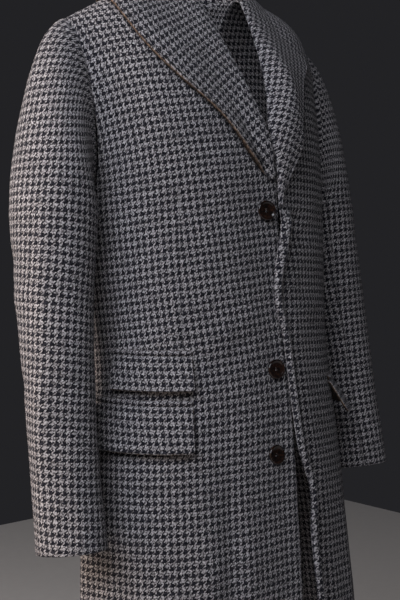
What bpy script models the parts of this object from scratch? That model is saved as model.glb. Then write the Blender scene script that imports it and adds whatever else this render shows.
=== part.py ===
"""Long single-breasted shawl-collar coat, kept in its worn shape, as hollow cloth pieces in metres.

The wearer faces -Y, so the wearer's right is -X, and +Z is up. The origin lies midway between the
two shoulder seams, where the wearer's shoulders carry the coat.
"""

import math
from collections import namedtuple

import bmesh
import bpy
import numpy as np
from mathutils import Matrix, Vector
from mathutils.bvhtree import BVHTree

PART_NAME = "foreman_coat"
RIGHT = -1
LEFT = 1

# Cloth
CLOTH = 0.0025
DOUBLE_CLOTH = 0.0036
SEAM_GAP = 0.0003
LAP_LIFT = 0.0052
LAP_FADE = 0.10
PROBE = 0.002
FRONT_WIDTH = 0.30
BACK_WIDTH = 0.60
COAT_LENGTH = 1.07
SEAM_BLEND = 0.93

# Columns and rows of each cloth grid
FRONT_GRID = (12, 24)
BACK_GRID = (20, 24)
UPPER_GRID = (14, 16)
UNDER_GRID = (6, 16)
COLLAR_GRID = (10, 16)
FLAP_GRID = (8, 4)

# Body below the arms: one row a level, from the hem up to the chest
ROUNDNESS = 0.87
ARM_DROP = 0.030
CHEST_SHARE = 0.72
Section = namedtuple(
    "Section", "height half_width front_depth back_depth centre_y side_degrees right_edge"
)
SECTIONS = (
    Section(-1.040, 0.236, 0.158, 0.138, -0.056, 103, -0.004),
    Section(-0.800, 0.214, 0.148, 0.124, -0.052, 103, -0.019),
    Section(-0.640, 0.204, 0.142, 0.124, -0.042, 103, -0.022),
    Section(-0.470, 0.188, 0.134, 0.120, -0.029, 101, -0.022),
    Section(-0.360, 0.190, 0.134, 0.122, -0.020, 97, -0.022),
    Section(-0.235, 0.197, 0.135, 0.124, -0.010, 90, -0.019),
)
Edge = namedtuple("Edge", "height left_edge")
LEFT_EDGES = (
    Edge(-1.040, 0.064),
    Edge(-0.800, 0.043),
    Edge(-0.715, 0.0375),
    Edge(-0.660, 0.0415),
    Edge(-0.600, 0.0215),
    Edge(-0.520, 0.013),
    Edge(-0.450, 0.0085),
    Edge(-0.390, -0.005),
    Edge(-0.330, 0.006),
    Edge(-0.280, 0.018),
    Edge(-0.235, 0.018),
)
HEM = SECTIONS[0].height
CHEST = SECTIONS[-1].height

# Long soft folds of the skirt: degrees are counted from the centre front, the wearer's right is minus
Fold = namedtuple("Fold", "degrees spread top bottom depth")
FOLDS = (
    Fold(-99, 8, -0.56, -0.72, 0.009),
    Fold(-80, 9, -0.62, -0.90, -0.005),
    Fold(-132, 12, -0.66, -1.04, 0.010),
    Fold(-165, 12, -0.70, -1.04, -0.008),
    Fold(160, 13, -0.68, -1.04, 0.010),
    Fold(118, 11, -0.62, -0.95, 0.009),
    Fold(70, 9, -0.70, -1.04, -0.006),
)

# Shoulders, on the wearer's own side
NECK_POINT = np.array((0.078, -0.002, 0.030))
SHOULDER_POINT = np.array((0.222, 0.000, -0.033))
SHOULDER_BULGE = 0.007
BACK_NECK = np.array((0.0, 0.070, 0.012))
NECK_SHARE = 0.4

# How each column of cloth rises from the chest row and reaches the shoulder
Column = namedtuple("Column", "share rise_x rise_y rise_z reach_x reach_y reach_z")
FRONT_COLUMNS = (
    Column(0.0, 0.028, 0.006, 0.085, -0.026, -0.086, -0.038),
    Column(0.5, 0.000, 0.004, 0.095, -0.002, -0.072, -0.006),
    Column(1.0, -0.006, -0.045, 0.012, -0.004, -0.050, -0.020),
)
BACK_COLUMNS = (
    Column(0.0, 0.000, 0.010, 0.090, 0.000, 0.022, -0.070),
    Column(0.4, 0.000, 0.008, 0.090, 0.000, 0.060, -0.020),
    Column(0.7, 0.000, 0.004, 0.090, 0.000, 0.068, -0.008),
    Column(1.0, -0.006, 0.052, 0.012, -0.004, 0.050, -0.020),
)

# Sleeves: rings along the arm, on the wearer's own side
CAP_SHARE = 0.36
UNDER_FROM = 0.36
UNDER_TO = 0.66
Ring = namedtuple("Ring", "drop x y z half_across half_along")
RIGHT_RINGS = (
    Ring(0.00, 0.2515, -0.014, -0.285, 0.053, 0.064),
    Ring(0.25, 0.259, -0.025, -0.390, 0.0465, 0.0555),
    Ring(0.50, 0.262, -0.038, -0.495, 0.043, 0.050),
    Ring(0.75, 0.264, -0.050, -0.600, 0.0415, 0.0495),
    Ring(1.00, 0.265, -0.068, -0.708, 0.042, 0.053),
)
LEFT_RINGS = (
    Ring(0.00, 0.2465, -0.012, -0.280, 0.046, 0.062),
    Ring(0.25, 0.253, -0.026, -0.378, 0.0465, 0.0555),
    Ring(0.50, 0.263, -0.042, -0.475, 0.043, 0.050),
    Ring(0.75, 0.268, -0.056, -0.570, 0.0415, 0.0495),
    Ring(1.00, 0.270, -0.074, -0.671, 0.042, 0.052),
)
CapColumn = namedtuple("CapColumn", "turn out_x out_y out_z handle")
CAP_COLUMNS = (
    CapColumn(0.00, 0.046, 0.000, -0.010, 0.130),
    CapColumn(0.25, 0.030, -0.020, -0.020, 0.085),
    CapColumn(0.50, 0.024, -0.002, -0.010, 0.012),
    CapColumn(0.75, 0.030, 0.022, -0.020, 0.085),
    CapColumn(1.00, 0.046, 0.000, -0.010, 0.130),
)

# Shawl collar, on the own side: from the break of the lapel (0) past the neck point to the centre back (1)
NECK_STATION = 0.62
STAND_SHARE = 0.3
ROLL_HANDLE = 0.011
LAPEL_BULGES = {RIGHT: 0.0, LEFT: 0.036}
BULGE_STATION = 0.25
BULGE_SPREAD = 0.13
FALL_LIFT = 0.006
BREAK_STATION = 0.124
Break = namedtuple("Break", "drop tuck lift")
BREAKS = {RIGHT: Break(0.0, 0.010, 0.0046), LEFT: Break(0.033, 0.0, 0.0)}
BREAK_CLEAR = DOUBLE_CLOTH + 0.0006
BREAK_THIN = 0.5
STAND_CLOTH = 0.0019
COLLAR_CLEAR = DOUBLE_CLOTH + 0.0026
SHOULDER_CLEAR = 0.0026
Fall = namedtuple("Fall", "station roll_x roll_y roll_z turn_x turn_y turn_z edge_x edge_y edge_z")
RIGHT_FALL = (
    Fall(0.000, -0.0085, -0.152, -0.230, 0.10, -1.00, 0.10, -0.003, -0.1515, -0.239),
    Fall(0.124, -0.0005, -0.150, -0.180, 0.15, -0.95, 0.20, 0.038, -0.140, -0.200),
    Fall(0.248, 0.018, -0.126, -0.112, 0.25, -0.85, 0.40, 0.077, -0.122, -0.150),
    Fall(0.372, 0.031, -0.093, -0.050, 0.40, -0.65, 0.60, 0.126, -0.099, -0.101),
    Fall(0.496, 0.042, -0.055, 0.008, 0.65, -0.40, 0.60, 0.157, -0.070, -0.056),
    Fall(0.620, 0.060, -0.004, 0.060, 0.97, -0.10, 0.20, 0.166, -0.004, -0.001),
    Fall(0.750, 0.056, 0.033, 0.066, 0.80, 0.55, 0.15, 0.130, 0.058, 0.000),
    Fall(0.880, 0.031, 0.056, 0.069, 0.45, 0.88, 0.15, 0.072, 0.092, -0.018),
    Fall(1.000, 0.000, 0.064, 0.070, 0.00, 1.00, 0.15, 0.000, 0.103, -0.024),
)
LEFT_FALL = (
    Fall(0.000, 0.0160, -0.1545, -0.270, 0.10, -1.00, 0.10, 0.0225, -0.1555, -0.277),
    Fall(0.060, 0.0125, -0.1545, -0.226, 0.10, -1.00, 0.10, 0.0275, -0.158, -0.2455),
    Fall(0.124, 0.0010, -0.152, -0.180, 0.30, -0.92, 0.15, 0.045, -0.1665, -0.202),
    Fall(0.248, 0.018, -0.126, -0.112, 0.50, -0.80, 0.25, 0.0605, -0.158, -0.156),
    Fall(0.372, 0.031, -0.093, -0.050, 0.55, -0.60, 0.55, 0.0985, -0.1232, -0.1015),
    Fall(0.496, 0.042, -0.055, 0.008, 0.65, -0.40, 0.60, 0.157, -0.070, -0.056),
    Fall(0.620, 0.060, -0.004, 0.060, 0.97, -0.10, 0.20, 0.166, -0.004, -0.001),
    Fall(0.750, 0.056, 0.033, 0.066, 0.80, 0.55, 0.15, 0.130, 0.058, 0.000),
    Fall(0.880, 0.031, 0.056, 0.069, 0.45, 0.88, 0.15, 0.072, 0.092, -0.018),
    Fall(1.000, 0.000, 0.064, 0.070, 0.00, 1.00, 0.15, 0.000, 0.103, -0.024),
)

# Pocket flaps: degrees round the body from the centre front, and how far the lower edge stands off
FlapSize = namedtuple("FlapSize", "name side front_degrees rear_degrees top bottom stand_off")
FLAPS = (
    FlapSize("ticket_flap_right", RIGHT, 38.5, 82, -0.466, -0.510, 0.005),
    FlapSize("pocket_flap_right", RIGHT, 39, 96, -0.530, -0.588, 0.006),
    FlapSize("pocket_flap_left", LEFT, 39, 96, -0.520, -0.564, 0.022),
)

# Horn buttons on the right front
BUTTON_RADIUS = 0.0132
BUTTON_FOOT = 0.82
BUTTON_THICK = 0.0046
BUTTON_RIM = 0.0026
BUTTON_DISH = 0.0020
HOLE_RADIUS = 0.0012
HOLE_OFFSET = 0.0027
BUTTON_SEGMENTS = 32
BUTTON_SEAT = 0.0005
Button = namedtuple("Button", "name own_x height tilt_degrees")
BUTTONS = (
    Button("button_1", 0.0065, -0.279, 14),
    Button("button_2", 0.0036, -0.490, 8),
    Button("button_3", 0.0150, -0.6016, 0),
)


class Track:
    """A smooth line through one column of a table."""

    def __init__(self, rows, key, value):
        self.keys = np.array([getattr(row, key) for row in rows])
        self.values = np.array([getattr(row, value) for row in rows])
        self.slopes = np.gradient(self.values, self.keys)

    def at(self, key):
        key = min(max(key, self.keys[0]), self.keys[-1])
        last = len(self.keys) - 2
        index = min(max(int(np.searchsorted(self.keys, key)) - 1, 0), last)
        span = self.keys[index + 1] - self.keys[index]
        share = (key - self.keys[index]) / span
        square = share * share
        cube = square * share
        start = (2 * cube - 3 * square + 1) * self.values[index]
        start_slope = (cube - 2 * square + share) * span * self.slopes[index]
        end = (3 * square - 2 * cube) * self.values[index + 1]
        end_slope = (cube - square) * span * self.slopes[index + 1]
        return start + start_slope + end + end_slope


class Table:
    """Smooth lines through every column of a table, looked up by its first column."""

    def __init__(self, rows):
        names = rows[0]._fields
        self.tracks = {name: Track(rows, names[0], name) for name in names[1:]}

    def at(self, key, *names):
        return np.array([self.tracks[name].at(key) for name in names])


BODY = Table(SECTIONS)
LEFT_FRONT = Table(LEFT_EDGES)
FRONT_RISE = Table(FRONT_COLUMNS)
BACK_RISE = Table(BACK_COLUMNS)
CAP = Table(CAP_COLUMNS)
ARMS = {RIGHT: Table(RIGHT_RINGS), LEFT: Table(LEFT_RINGS)}
COLLARS = {RIGHT: Table(RIGHT_FALL), LEFT: Table(LEFT_FALL)}


def ease(value):
    value = min(max(value, 0.0), 1.0)
    return value * value * (3 - 2 * value)


def unit(vector):
    return vector / np.linalg.norm(vector)


def bezier(start, rise, reach, end, share):
    """A cubic curve that leaves start along rise and arrives at end from end + reach."""
    rest = 1 - share
    first = start + rise
    second = end + reach
    return rest**3 * start + 3 * rest**2 * share * first + 3 * rest * share**2 * second + share**3 * end


def fold_depth(side, angle, height):
    """How far the long folds push the cloth out at this angle and height."""
    depth = 0.0
    for fold in FOLDS:
        away = math.degrees(angle) * side - fold.degrees
        away = (away + 180) % 360 - 180
        fall = ease((fold.top - height) / (fold.top - fold.bottom))
        depth += fold.depth * fall * math.exp(-((away / fold.spread) ** 2))
    return depth


def body_point(side, angle, height):
    """A point of the body below the arms: angle 0 is the centre front and 180 degrees the centre back."""
    half_width, front, back, centre = BODY.at(height, "half_width", "front_depth", "back_depth", "centre_y")
    across = math.copysign(abs(math.sin(angle)) ** ROUNDNESS, math.sin(angle))
    along = math.copysign(abs(math.cos(angle)) ** ROUNDNESS, math.cos(angle))
    depth = front if along > 0 else back
    outward = unit(np.array((across / half_width, -along / depth, 0.0)))
    level = np.array((half_width * across, centre - depth * along, height))
    return level + outward * fold_depth(side, angle, height)


def side_seam(height):
    return math.radians(BODY.at(height, "side_degrees")[0])


def edge_angle(side, height):
    """The angle at which a front panel's edge stands."""
    if side == RIGHT:
        edge = BODY.at(height, "right_edge")[0]
    else:
        edge = LEFT_FRONT.at(height, "left_edge")[0]
    share = (abs(edge) / BODY.at(height, "half_width")[0]) ** (1 / ROUNDNESS)
    return math.copysign(math.asin(share), edge)


def row_height(share_up, share_across):
    """Rows run level at the hem and droop towards the armpit at the chest."""
    height = HEM + (CHEST - HEM) * share_up
    return height - ARM_DROP * ease(share_across) * ease((share_up - 0.5) / 0.5)


def shoulder_seam(share):
    point = NECK_POINT + (SHOULDER_POINT - NECK_POINT) * share
    point[2] += SHOULDER_BULGE * math.sin(math.pi * share)
    return point


def front_own(side, across, up):
    """A point of a front panel on the wearer's own side, before the lap."""
    share_up = min(up / CHEST_SHARE, 1.0)
    height = row_height(share_up, across)
    start = edge_angle(side, height)
    below = body_point(side, start + (side_seam(height) - start) * across, height)
    if up <= CHEST_SHARE:
        return below
    rise = FRONT_RISE.at(across, "rise_x", "rise_y", "rise_z")
    reach = FRONT_RISE.at(across, "reach_x", "reach_y", "reach_z")
    share = (up - CHEST_SHARE) / (1 - CHEST_SHARE)
    return bezier(below, rise, reach, shoulder_seam(across), share)


def front_point(side, across, up):
    """A point of the outside of a front panel; the left one stands off where it laps over the right."""
    point = front_own(side, across, up)
    if side == LEFT:
        lap = 1 - ease((point[0] + 0.01) / LAP_FADE)
        outward = unit(np.array((point[0] * 0.6, point[1], 0.0)))
        point = point + outward * LAP_LIFT * lap
    return point * np.array((side, 1.0, 1.0))


def back_top(share):
    if share >= NECK_SHARE:
        return shoulder_seam((share - NECK_SHARE) / (1 - NECK_SHARE))
    turn = math.pi / 2 * share / NECK_SHARE
    point = BACK_NECK.copy()
    point[0] = NECK_POINT[0] * math.sin(turn)
    point[1] = NECK_POINT[1] + (BACK_NECK[1] - NECK_POINT[1]) * math.cos(turn)
    point[2] = BACK_NECK[2] + (NECK_POINT[2] - BACK_NECK[2]) * (1 - math.cos(turn))
    return point


def back_point(across, up):
    """A point of the outside of the back, from the right side seam to the left one."""
    signed = 2 * across - 1
    share = abs(signed)
    share_up = min(up / CHEST_SHARE, 1.0)
    height = row_height(share_up, share)
    angle = math.pi - (math.pi - side_seam(height)) * share
    point = body_point(math.copysign(1, signed), angle, height)
    if up > CHEST_SHARE:
        rise = BACK_RISE.at(share, "rise_x", "rise_y", "rise_z")
        reach = BACK_RISE.at(share, "reach_x", "reach_y", "reach_z")
        point = bezier(point, rise, reach, back_top(share), (up - CHEST_SHARE) / (1 - CHEST_SHARE))
    return point * np.array((math.copysign(1.0, signed), 1.0, 1.0))


def armhole(side, turn):
    """The armhole on the own side: turn 0 is the shoulder point, then front, armpit and back."""
    turn = turn % 1.0
    if turn <= 0.5:
        up = 1 - (1 - CHEST_SHARE) * turn * 2
        return front_own(side, 1.0, up)
    up = CHEST_SHARE + (1 - CHEST_SHARE) * (turn - 0.5) * 2
    return back_point(1.0, up)


def arm_ring(side, turn, drop):
    """A point of the sleeve below the cap, and the direction down the arm there."""
    arm = ARMS[side]
    centre = arm.at(drop, "x", "y", "z")
    ahead = arm.at(min(drop + 0.02, 1.0), "x", "y", "z")
    behind = arm.at(max(drop - 0.02, 0.0), "x", "y", "z")
    down = unit(ahead - behind)
    outward = np.array((1.0, 0.0, 0.0))
    outward = unit(outward - down * np.dot(outward, down))
    forward = np.cross(down, outward)
    across, along = arm.at(drop, "half_across", "half_along")
    angle = 2 * math.pi * turn
    return centre + outward * across * math.cos(angle) + forward * along * math.sin(angle), down


def sleeve_own(side, turn, drop):
    if drop >= CAP_SHARE:
        return arm_ring(side, turn, (drop - CAP_SHARE) / (1 - CAP_SHARE))[0]
    end, down = arm_ring(side, turn, 0.0)
    out = CAP.at(turn % 1.0, "out_x", "out_y", "out_z")
    handle = CAP.at(turn % 1.0, "handle")[0]
    start = armhole(side, turn) + unit(out) * SEAM_GAP * 1.5
    return bezier(start, out, -down * handle, end, drop / CAP_SHARE)


def sleeve_point(side, turn, drop):
    return sleeve_own(side, turn, drop) * np.array((side, 1.0, 1.0))


def normal_at(surface, outward, across, up):
    """The direction out of a surface, worked out from points close by."""
    sideways = surface(across + PROBE, up) - surface(across - PROBE, up)
    upwards = surface(across, up + PROBE) - surface(across, up - PROBE)
    return unit(np.cross(sideways, upwards)) * outward


def panel_normal(surface, outward, across, up):
    """A panel's normal, turned at the shoulder seam to the one that both panels share there."""
    normal = normal_at(surface, outward, across, up)
    seam = SHOULDER_POINT - NECK_POINT
    shared = unit(np.array((math.copysign(-seam[2], surface(across, up)[0]), 0.0, seam[0])))
    return unit(normal + (shared - normal) * ease((up - SEAM_BLEND) / (1 - SEAM_BLEND)))


def collar_seam(side, station):
    """The line where the collar is sewn on: up the edge of the front, then round the back neck."""
    if station <= NECK_STATION:
        near_break = 1 - ease(station / BREAK_STATION)
        up = CHEST_SHARE + (1 - CHEST_SHARE) * station / NECK_STATION - BREAKS[side].drop * near_break
        point = front_point(side, BREAKS[side].tuck * near_break, up)
        point[1] -= BREAKS[side].lift * near_break
        return point * np.array((side, 1.0, 1.0))
    share = NECK_SHARE * (1 - station) / (1 - NECK_STATION)
    return back_top(max(share, 0.0))


def collar_own(side, across, station):
    """A point of the collar on the own side: across 0 is the seam, STAND_SHARE the roll and 1 the edge."""
    table = COLLARS[side]
    roll = table.at(station, "roll_x", "roll_y", "roll_z")
    full = BREAK_THIN + (1 - BREAK_THIN) * ease(station / BREAK_STATION)
    bulge = LAPEL_BULGES[side] * math.exp(-(((station - BULGE_STATION) / BULGE_SPREAD) ** 2))
    turn = unit(table.at(station, "turn_x", "turn_y", "turn_z"))
    edge = table.at(station, "edge_x", "edge_y", "edge_z")
    seam = collar_seam(side, station)
    if across <= STAND_SHARE:
        seam = seam + unit(roll - seam) * SEAM_GAP * 2
        handle = turn * ROLL_HANDLE * full
        return bezier(seam, (roll - seam) * 0.4, -handle * 0.6, roll, across / STAND_SHARE)
    handle = turn * (ROLL_HANDLE + bulge) * full
    reach = (roll - edge) * 0.35 + turn * (FALL_LIFT + bulge * 0.15) * full
    return bezier(roll, handle, reach, edge, (across - STAND_SHARE) / (1 - STAND_SHARE))


def collar_point(side, across, station):
    own = collar_own(side, across, station)
    if station > NECK_STATION:
        own[0] = max(own[0], SEAM_GAP / 2)
    return own * np.array((side, 1.0, 1.0))


def sheet_tree(sheets):
    """A search tree over the outsides of some panels, with their faces turned outwards."""
    points = []
    faces = []
    for surface, outward, (columns, rows) in sheets:
        first = len(points)
        for row in range(rows + 1):
            points.extend(Vector(surface(column / columns, row / rows)) for column in range(columns + 1))
        for row in range(rows):
            for column in range(columns):
                corner = first + row * (columns + 1) + column
                ring = (corner, corner + 1, corner + columns + 2, corner + columns + 1)
                faces.append(ring if outward > 0 else ring[::-1])
    return BVHTree.FromPolygons(points, faces)


def moved_clear(point, tree, clearance):
    """The point, moved out of the panels below it as far as the clearance asks."""
    place, normal, _, _ = tree.find_nearest(Vector(point))
    short = clearance - (Vector(point) - place).dot(normal)
    if short > 0:
        point = point + np.array(normal) * short
    return point


def flap_surface(flap):
    """A flap made from the points of the front below it, moved out."""
    def surface(across, down):
        degrees = flap.front_degrees + (flap.rear_degrees - flap.front_degrees) * across
        height = flap.top + (flap.bottom - flap.top) * down
        angle = math.radians(degrees)
        point = body_point(flap.side, angle, height)
        ahead = body_point(flap.side, angle + 0.01, height)
        behind = body_point(flap.side, angle - 0.01, height)
        outward = unit(np.array(((ahead - behind)[1], (behind - ahead)[0], 0.0)))
        stand = DOUBLE_CLOTH + SEAM_GAP * 2 + flap.stand_off * down
        return (point + outward * stand) * np.array((flap.side, 1.0, 1.0))
    return surface


def collar_normal(surface, outward, across, station):
    """A collar half's normal, kept square to the seam where the two halves meet."""
    normal = normal_at(surface, outward, across, station)
    normal[0] *= 1 - ease((station - 0.9) / 0.1)
    return unit(normal)


def collar_thickness(across, station):
    """One layer of cloth in the stand and two in the fall, thinner where they taper at the break."""
    doubled = ease((across - STAND_SHARE) / 0.25)
    full = BREAK_THIN + (1 - BREAK_THIN) * ease(station / BREAK_STATION)
    return (STAND_CLOTH + (DOUBLE_CLOTH - STAND_CLOTH) * doubled) * full


def make_material(name, colour, roughness):
    material = bpy.data.materials.new(name)
    material.use_nodes = True
    shader = material.node_tree.nodes["Principled BSDF"]
    shader.inputs["Base Color"].default_value = (*colour, 1.0)
    shader.inputs["Roughness"].default_value = roughness
    return material


def finish_object(name, mesh, material, collection):
    mesh.materials.append(material)
    item = bpy.data.objects.new(name, mesh)
    collection.objects.link(item)
    return item


def wall(name, grid, surface, thickness, outward, material, collection, normal=normal_at):
    """A cloth wall: a grid laid on the surface, extruded and moved in by the cloth's thickness there."""
    columns, rows = grid
    sheet = bmesh.new()
    bmesh.ops.create_grid(sheet, x_segments=columns, y_segments=rows, size=0.5)
    made = bmesh.ops.extrude_face_region(sheet, geom=sheet.faces[:])
    inside = {item for item in made["geom"] if isinstance(item, bmesh.types.BMVert)}
    for vertex in sheet.verts:
        across = vertex.co.x + 0.5
        up = vertex.co.y + 0.5
        point = surface(across, up)
        if vertex in inside:
            depth = thickness(across, up) if callable(thickness) else thickness
            point = point - normal(surface, outward, across, up) * depth
        vertex.co = Vector(point)
    bmesh.ops.recalc_face_normals(sheet, faces=sheet.faces[:])
    if sheet.calc_volume(signed=True) < 0:
        bmesh.ops.reverse_faces(sheet, faces=sheet.faces[:])
    mesh = bpy.data.meshes.new(name)
    sheet.to_mesh(mesh)
    sheet.free()
    return finish_object(name, mesh, material, collection)


def between(surface, low, high):
    """The same surface, with its first share run only from low to high."""
    return lambda across, up: surface(low + (high - low) * across, up)


def trimmed(surface, width, height):
    """The surface with half a seam gap left free at its sides and along its top."""
    side = SEAM_GAP / 2 / width
    top = 1 - SEAM_GAP / 2 / height
    return lambda across, up: surface(side + (1 - 2 * side) * across, up * top)


def clear_file():
    for item in list(bpy.data.objects):
        bpy.data.objects.remove(item, do_unlink=True)
    for group in list(bpy.data.collections):
        bpy.data.collections.remove(group)


def build_panels(cloth, collection):
    right = trimmed(lambda across, up: front_point(RIGHT, across, up), FRONT_WIDTH, COAT_LENGTH)
    left = trimmed(lambda across, up: front_point(LEFT, across, up), FRONT_WIDTH, COAT_LENGTH)
    back = trimmed(back_point, BACK_WIDTH, COAT_LENGTH)
    wall("front_right", FRONT_GRID, right, CLOTH, RIGHT, cloth, collection, panel_normal)
    wall("front_left", FRONT_GRID, left, CLOTH, LEFT, cloth, collection, panel_normal)
    wall("back", BACK_GRID, back, CLOTH, -1, cloth, collection, panel_normal)


def build_sleeves(cloth, collection):
    for side, word in ((RIGHT, "right"), (LEFT, "left")):
        whole = lambda s, t, side=side: sleeve_point(side, s, t)
        margin = 0.0005
        upper = between(whole, UNDER_TO - 1 + margin, UNDER_FROM - margin)
        under = between(whole, UNDER_FROM + margin, UNDER_TO - margin)
        wall(f"sleeve_{word}_upper", UPPER_GRID, upper, CLOTH, side, cloth, collection)
        wall(f"sleeve_{word}_under", UNDER_GRID, under, CLOTH, side, cloth, collection)


def collar_surface(side):
    """The collar half, with its fall kept clear of the front and back that it lies on."""
    front = (lambda across, up: front_point(side, across, up), side, FRONT_GRID)
    tree = sheet_tree((front, (back_point, -1, BACK_GRID)))

    def surface(across, station):
        point = collar_point(side, across, station)
        clear = ease((across - STAND_SHARE) / (0.4 * (1 - STAND_SHARE)))
        if clear > 0:
            level = point[0]
            over_shoulder = math.exp(-(((station - NECK_STATION) / 0.09) ** 2))
            gap = BREAK_CLEAR + (COLLAR_CLEAR - BREAK_CLEAR) * ease(station / BREAK_STATION)
            point = moved_clear(point, tree, (gap + SHOULDER_CLEAR * over_shoulder) * clear)
            if station > 0.999:
                point[0] = level
        return point
    return surface


def build_collar(cloth, collection):
    for side, word in ((RIGHT, "right"), (LEFT, "left")):
        half = collar_surface(side)
        name = f"shawl_collar_{word}"
        wall(name, COLLAR_GRID, half, collar_thickness, side, cloth, collection, collar_normal)


def build_flaps(cloth, collection):
    for flap in FLAPS:
        wall(flap.name, FLAP_GRID, flap_surface(flap), DOUBLE_CLOTH, -flap.side, cloth, collection)


def button_outline():
    """Half a button's section from the middle of its back to the middle of its dished front."""
    return (
        (0.0, 0.0),
        (BUTTON_RADIUS * BUTTON_FOOT, 0.0),
        (BUTTON_RADIUS, BUTTON_THICK * 0.45),
        (BUTTON_RADIUS, BUTTON_THICK * 0.75),
        (BUTTON_RADIUS - BUTTON_RIM * 0.5, BUTTON_THICK),
        (BUTTON_RADIUS - BUTTON_RIM, BUTTON_THICK * 0.9),
        (BUTTON_RADIUS - BUTTON_RIM * 1.6, BUTTON_THICK - BUTTON_DISH),
        (0.0, BUTTON_THICK - BUTTON_DISH),
    )


def make_cutter(cutters):
    """Four thread holes, as one cutter."""
    holes = bmesh.new()
    for turn in range(4):
        angle = math.radians(45 + 90 * turn)
        place = Matrix.Translation((HOLE_OFFSET * math.cos(angle), HOLE_OFFSET * math.sin(angle), 0.002))
        bmesh.ops.create_cone(
            holes,
            cap_ends=True,
            segments=10,
            radius1=HOLE_RADIUS,
            radius2=HOLE_RADIUS,
            depth=0.02,
            matrix=place,
        )
    mesh = bpy.data.meshes.new("thread_holes")
    holes.to_mesh(mesh)
    holes.free()
    item = bpy.data.objects.new("thread_holes", mesh)
    cutters.objects.link(item)
    item.hide_render = True
    item.display_type = "WIRE"
    return item


def button_place(button):
    """Where a button lies on the right front: along the panel's normal, tilted outwards on its thread."""
    share = (button.own_x / BODY.at(button.height, "half_width")[0]) ** (1 / ROUNDNESS)
    angle = math.asin(share)
    point = body_point(RIGHT, angle, button.height)
    higher = body_point(RIGHT, angle, button.height + 0.01)
    lower = body_point(RIGHT, angle, button.height - 0.01)
    beside = body_point(RIGHT, angle + 0.05, button.height)
    upward = unit(higher - lower)
    outward = unit(np.cross(beside - point, upward))
    tilt = math.radians(button.tilt_degrees)
    point = point + outward * (BUTTON_SEAT + BUTTON_RADIUS * BUTTON_FOOT * math.sin(tilt))
    outward = outward * math.cos(tilt) + unit(beside - point) * math.sin(tilt)
    outward = unit(outward - upward * np.dot(outward, upward))
    sideways = np.cross(upward, outward)
    mirror = np.array((RIGHT, 1.0, 1.0))
    axes = np.column_stack((-sideways * mirror, upward * mirror, outward * mirror))
    place = np.eye(4)
    place[:3, :3] = axes
    place[:3, 3] = point * mirror
    return Matrix(place.tolist())


def build_buttons(horn, collection, cutters):
    for button in BUTTONS:
        outline = bmesh.new()
        points = [outline.verts.new((radius, 0.0, height)) for radius, height in button_outline()]
        for start, end in zip(points, points[1:]):
            outline.edges.new((start, end))
        mesh = bpy.data.meshes.new(button.name)
        outline.to_mesh(mesh)
        outline.free()
        item = finish_object(button.name, mesh, horn, collection)
        turn = item.modifiers.new("turn", "SCREW")
        turn.steps = BUTTON_SEGMENTS
        turn.render_steps = BUTTON_SEGMENTS
        turn.use_merge_vertices = True
        turn.merge_threshold = 0.00005
        turn.use_normal_calculate = True
        item.matrix_world = button_place(button)
        holes = make_cutter(cutters)
        holes.name = f"{button.name}_holes"
        holes.matrix_world = item.matrix_world
        cut = item.modifiers.new("holes", "BOOLEAN")
        cut.operation = "DIFFERENCE"
        cut.object = holes
        cut.solver = "EXACT"


def main():
    clear_file()
    collection = bpy.data.collections.new(PART_NAME)
    bpy.context.scene.collection.children.link(collection)
    cutters = bpy.data.collections.new("cutters")
    bpy.context.scene.collection.children.link(cutters)
    cloth = make_material("houndstooth_tweed", (0.12, 0.11, 0.11), 0.9)
    horn = make_material("dark_horn", (0.05, 0.03, 0.025), 0.3)
    build_panels(cloth, collection)
    build_sleeves(cloth, collection)
    build_collar(cloth, collection)
    build_flaps(cloth, collection)
    build_buttons(horn, collection, cutters)


main()
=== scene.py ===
"""Looks of the long shawl-collar coat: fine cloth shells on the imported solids, in metres.

The coat's front faces -Y, its right side as worn is -X, and +Z is up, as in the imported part.
"""

import math
from collections import namedtuple

import bmesh
import bpy
import numpy as np
from mathutils import Matrix, Vector
from mathutils.bvhtree import BVHTree

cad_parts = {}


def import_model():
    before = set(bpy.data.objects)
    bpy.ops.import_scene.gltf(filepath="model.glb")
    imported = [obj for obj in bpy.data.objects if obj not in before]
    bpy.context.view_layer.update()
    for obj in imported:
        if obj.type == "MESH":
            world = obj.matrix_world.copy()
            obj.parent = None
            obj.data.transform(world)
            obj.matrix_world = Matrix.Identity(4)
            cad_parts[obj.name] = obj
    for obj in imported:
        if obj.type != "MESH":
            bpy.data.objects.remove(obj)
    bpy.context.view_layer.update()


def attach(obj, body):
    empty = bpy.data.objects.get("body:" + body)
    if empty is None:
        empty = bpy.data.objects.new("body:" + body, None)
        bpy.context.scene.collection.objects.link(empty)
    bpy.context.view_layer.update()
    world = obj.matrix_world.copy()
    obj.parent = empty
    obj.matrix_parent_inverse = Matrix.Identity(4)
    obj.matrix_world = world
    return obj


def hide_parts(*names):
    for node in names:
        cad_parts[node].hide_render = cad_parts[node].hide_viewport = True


RIGHT = -1
LEFT = 1
SIDES = ((RIGHT, "right"), (LEFT, "left"))

# Cloth
CLOTH = 0.0025
DOUBLE_CLOTH = 0.0036
SEAM_GAP = 0.0003
SEAM_ROUND = 0.0009
LAP_LIFT = 0.0052
LAP_FADE = 0.10
LAP_FROM = -0.01
LAP_OUT = np.array((0.6, 1.0, 0.0))
SEAM_BLEND = 0.93
RIM_STEPS = 6
# Rim steps over which the painted felt comes in: painted lit halfway in, then painted shade
PAINTED_FELT_STEPS = 2
TURN_MARGIN = 0.0005
HEM_EXTRA = 0.0018
HEM_TURN = 0.045
HEM_FADE = 0.010
CUFF_FROM = 0.93
CUFF_FADE = 0.02
FRONT_EDGE_EXTRA = 0.0030
FRONT_EDGE_WIDTH = 0.010

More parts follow.
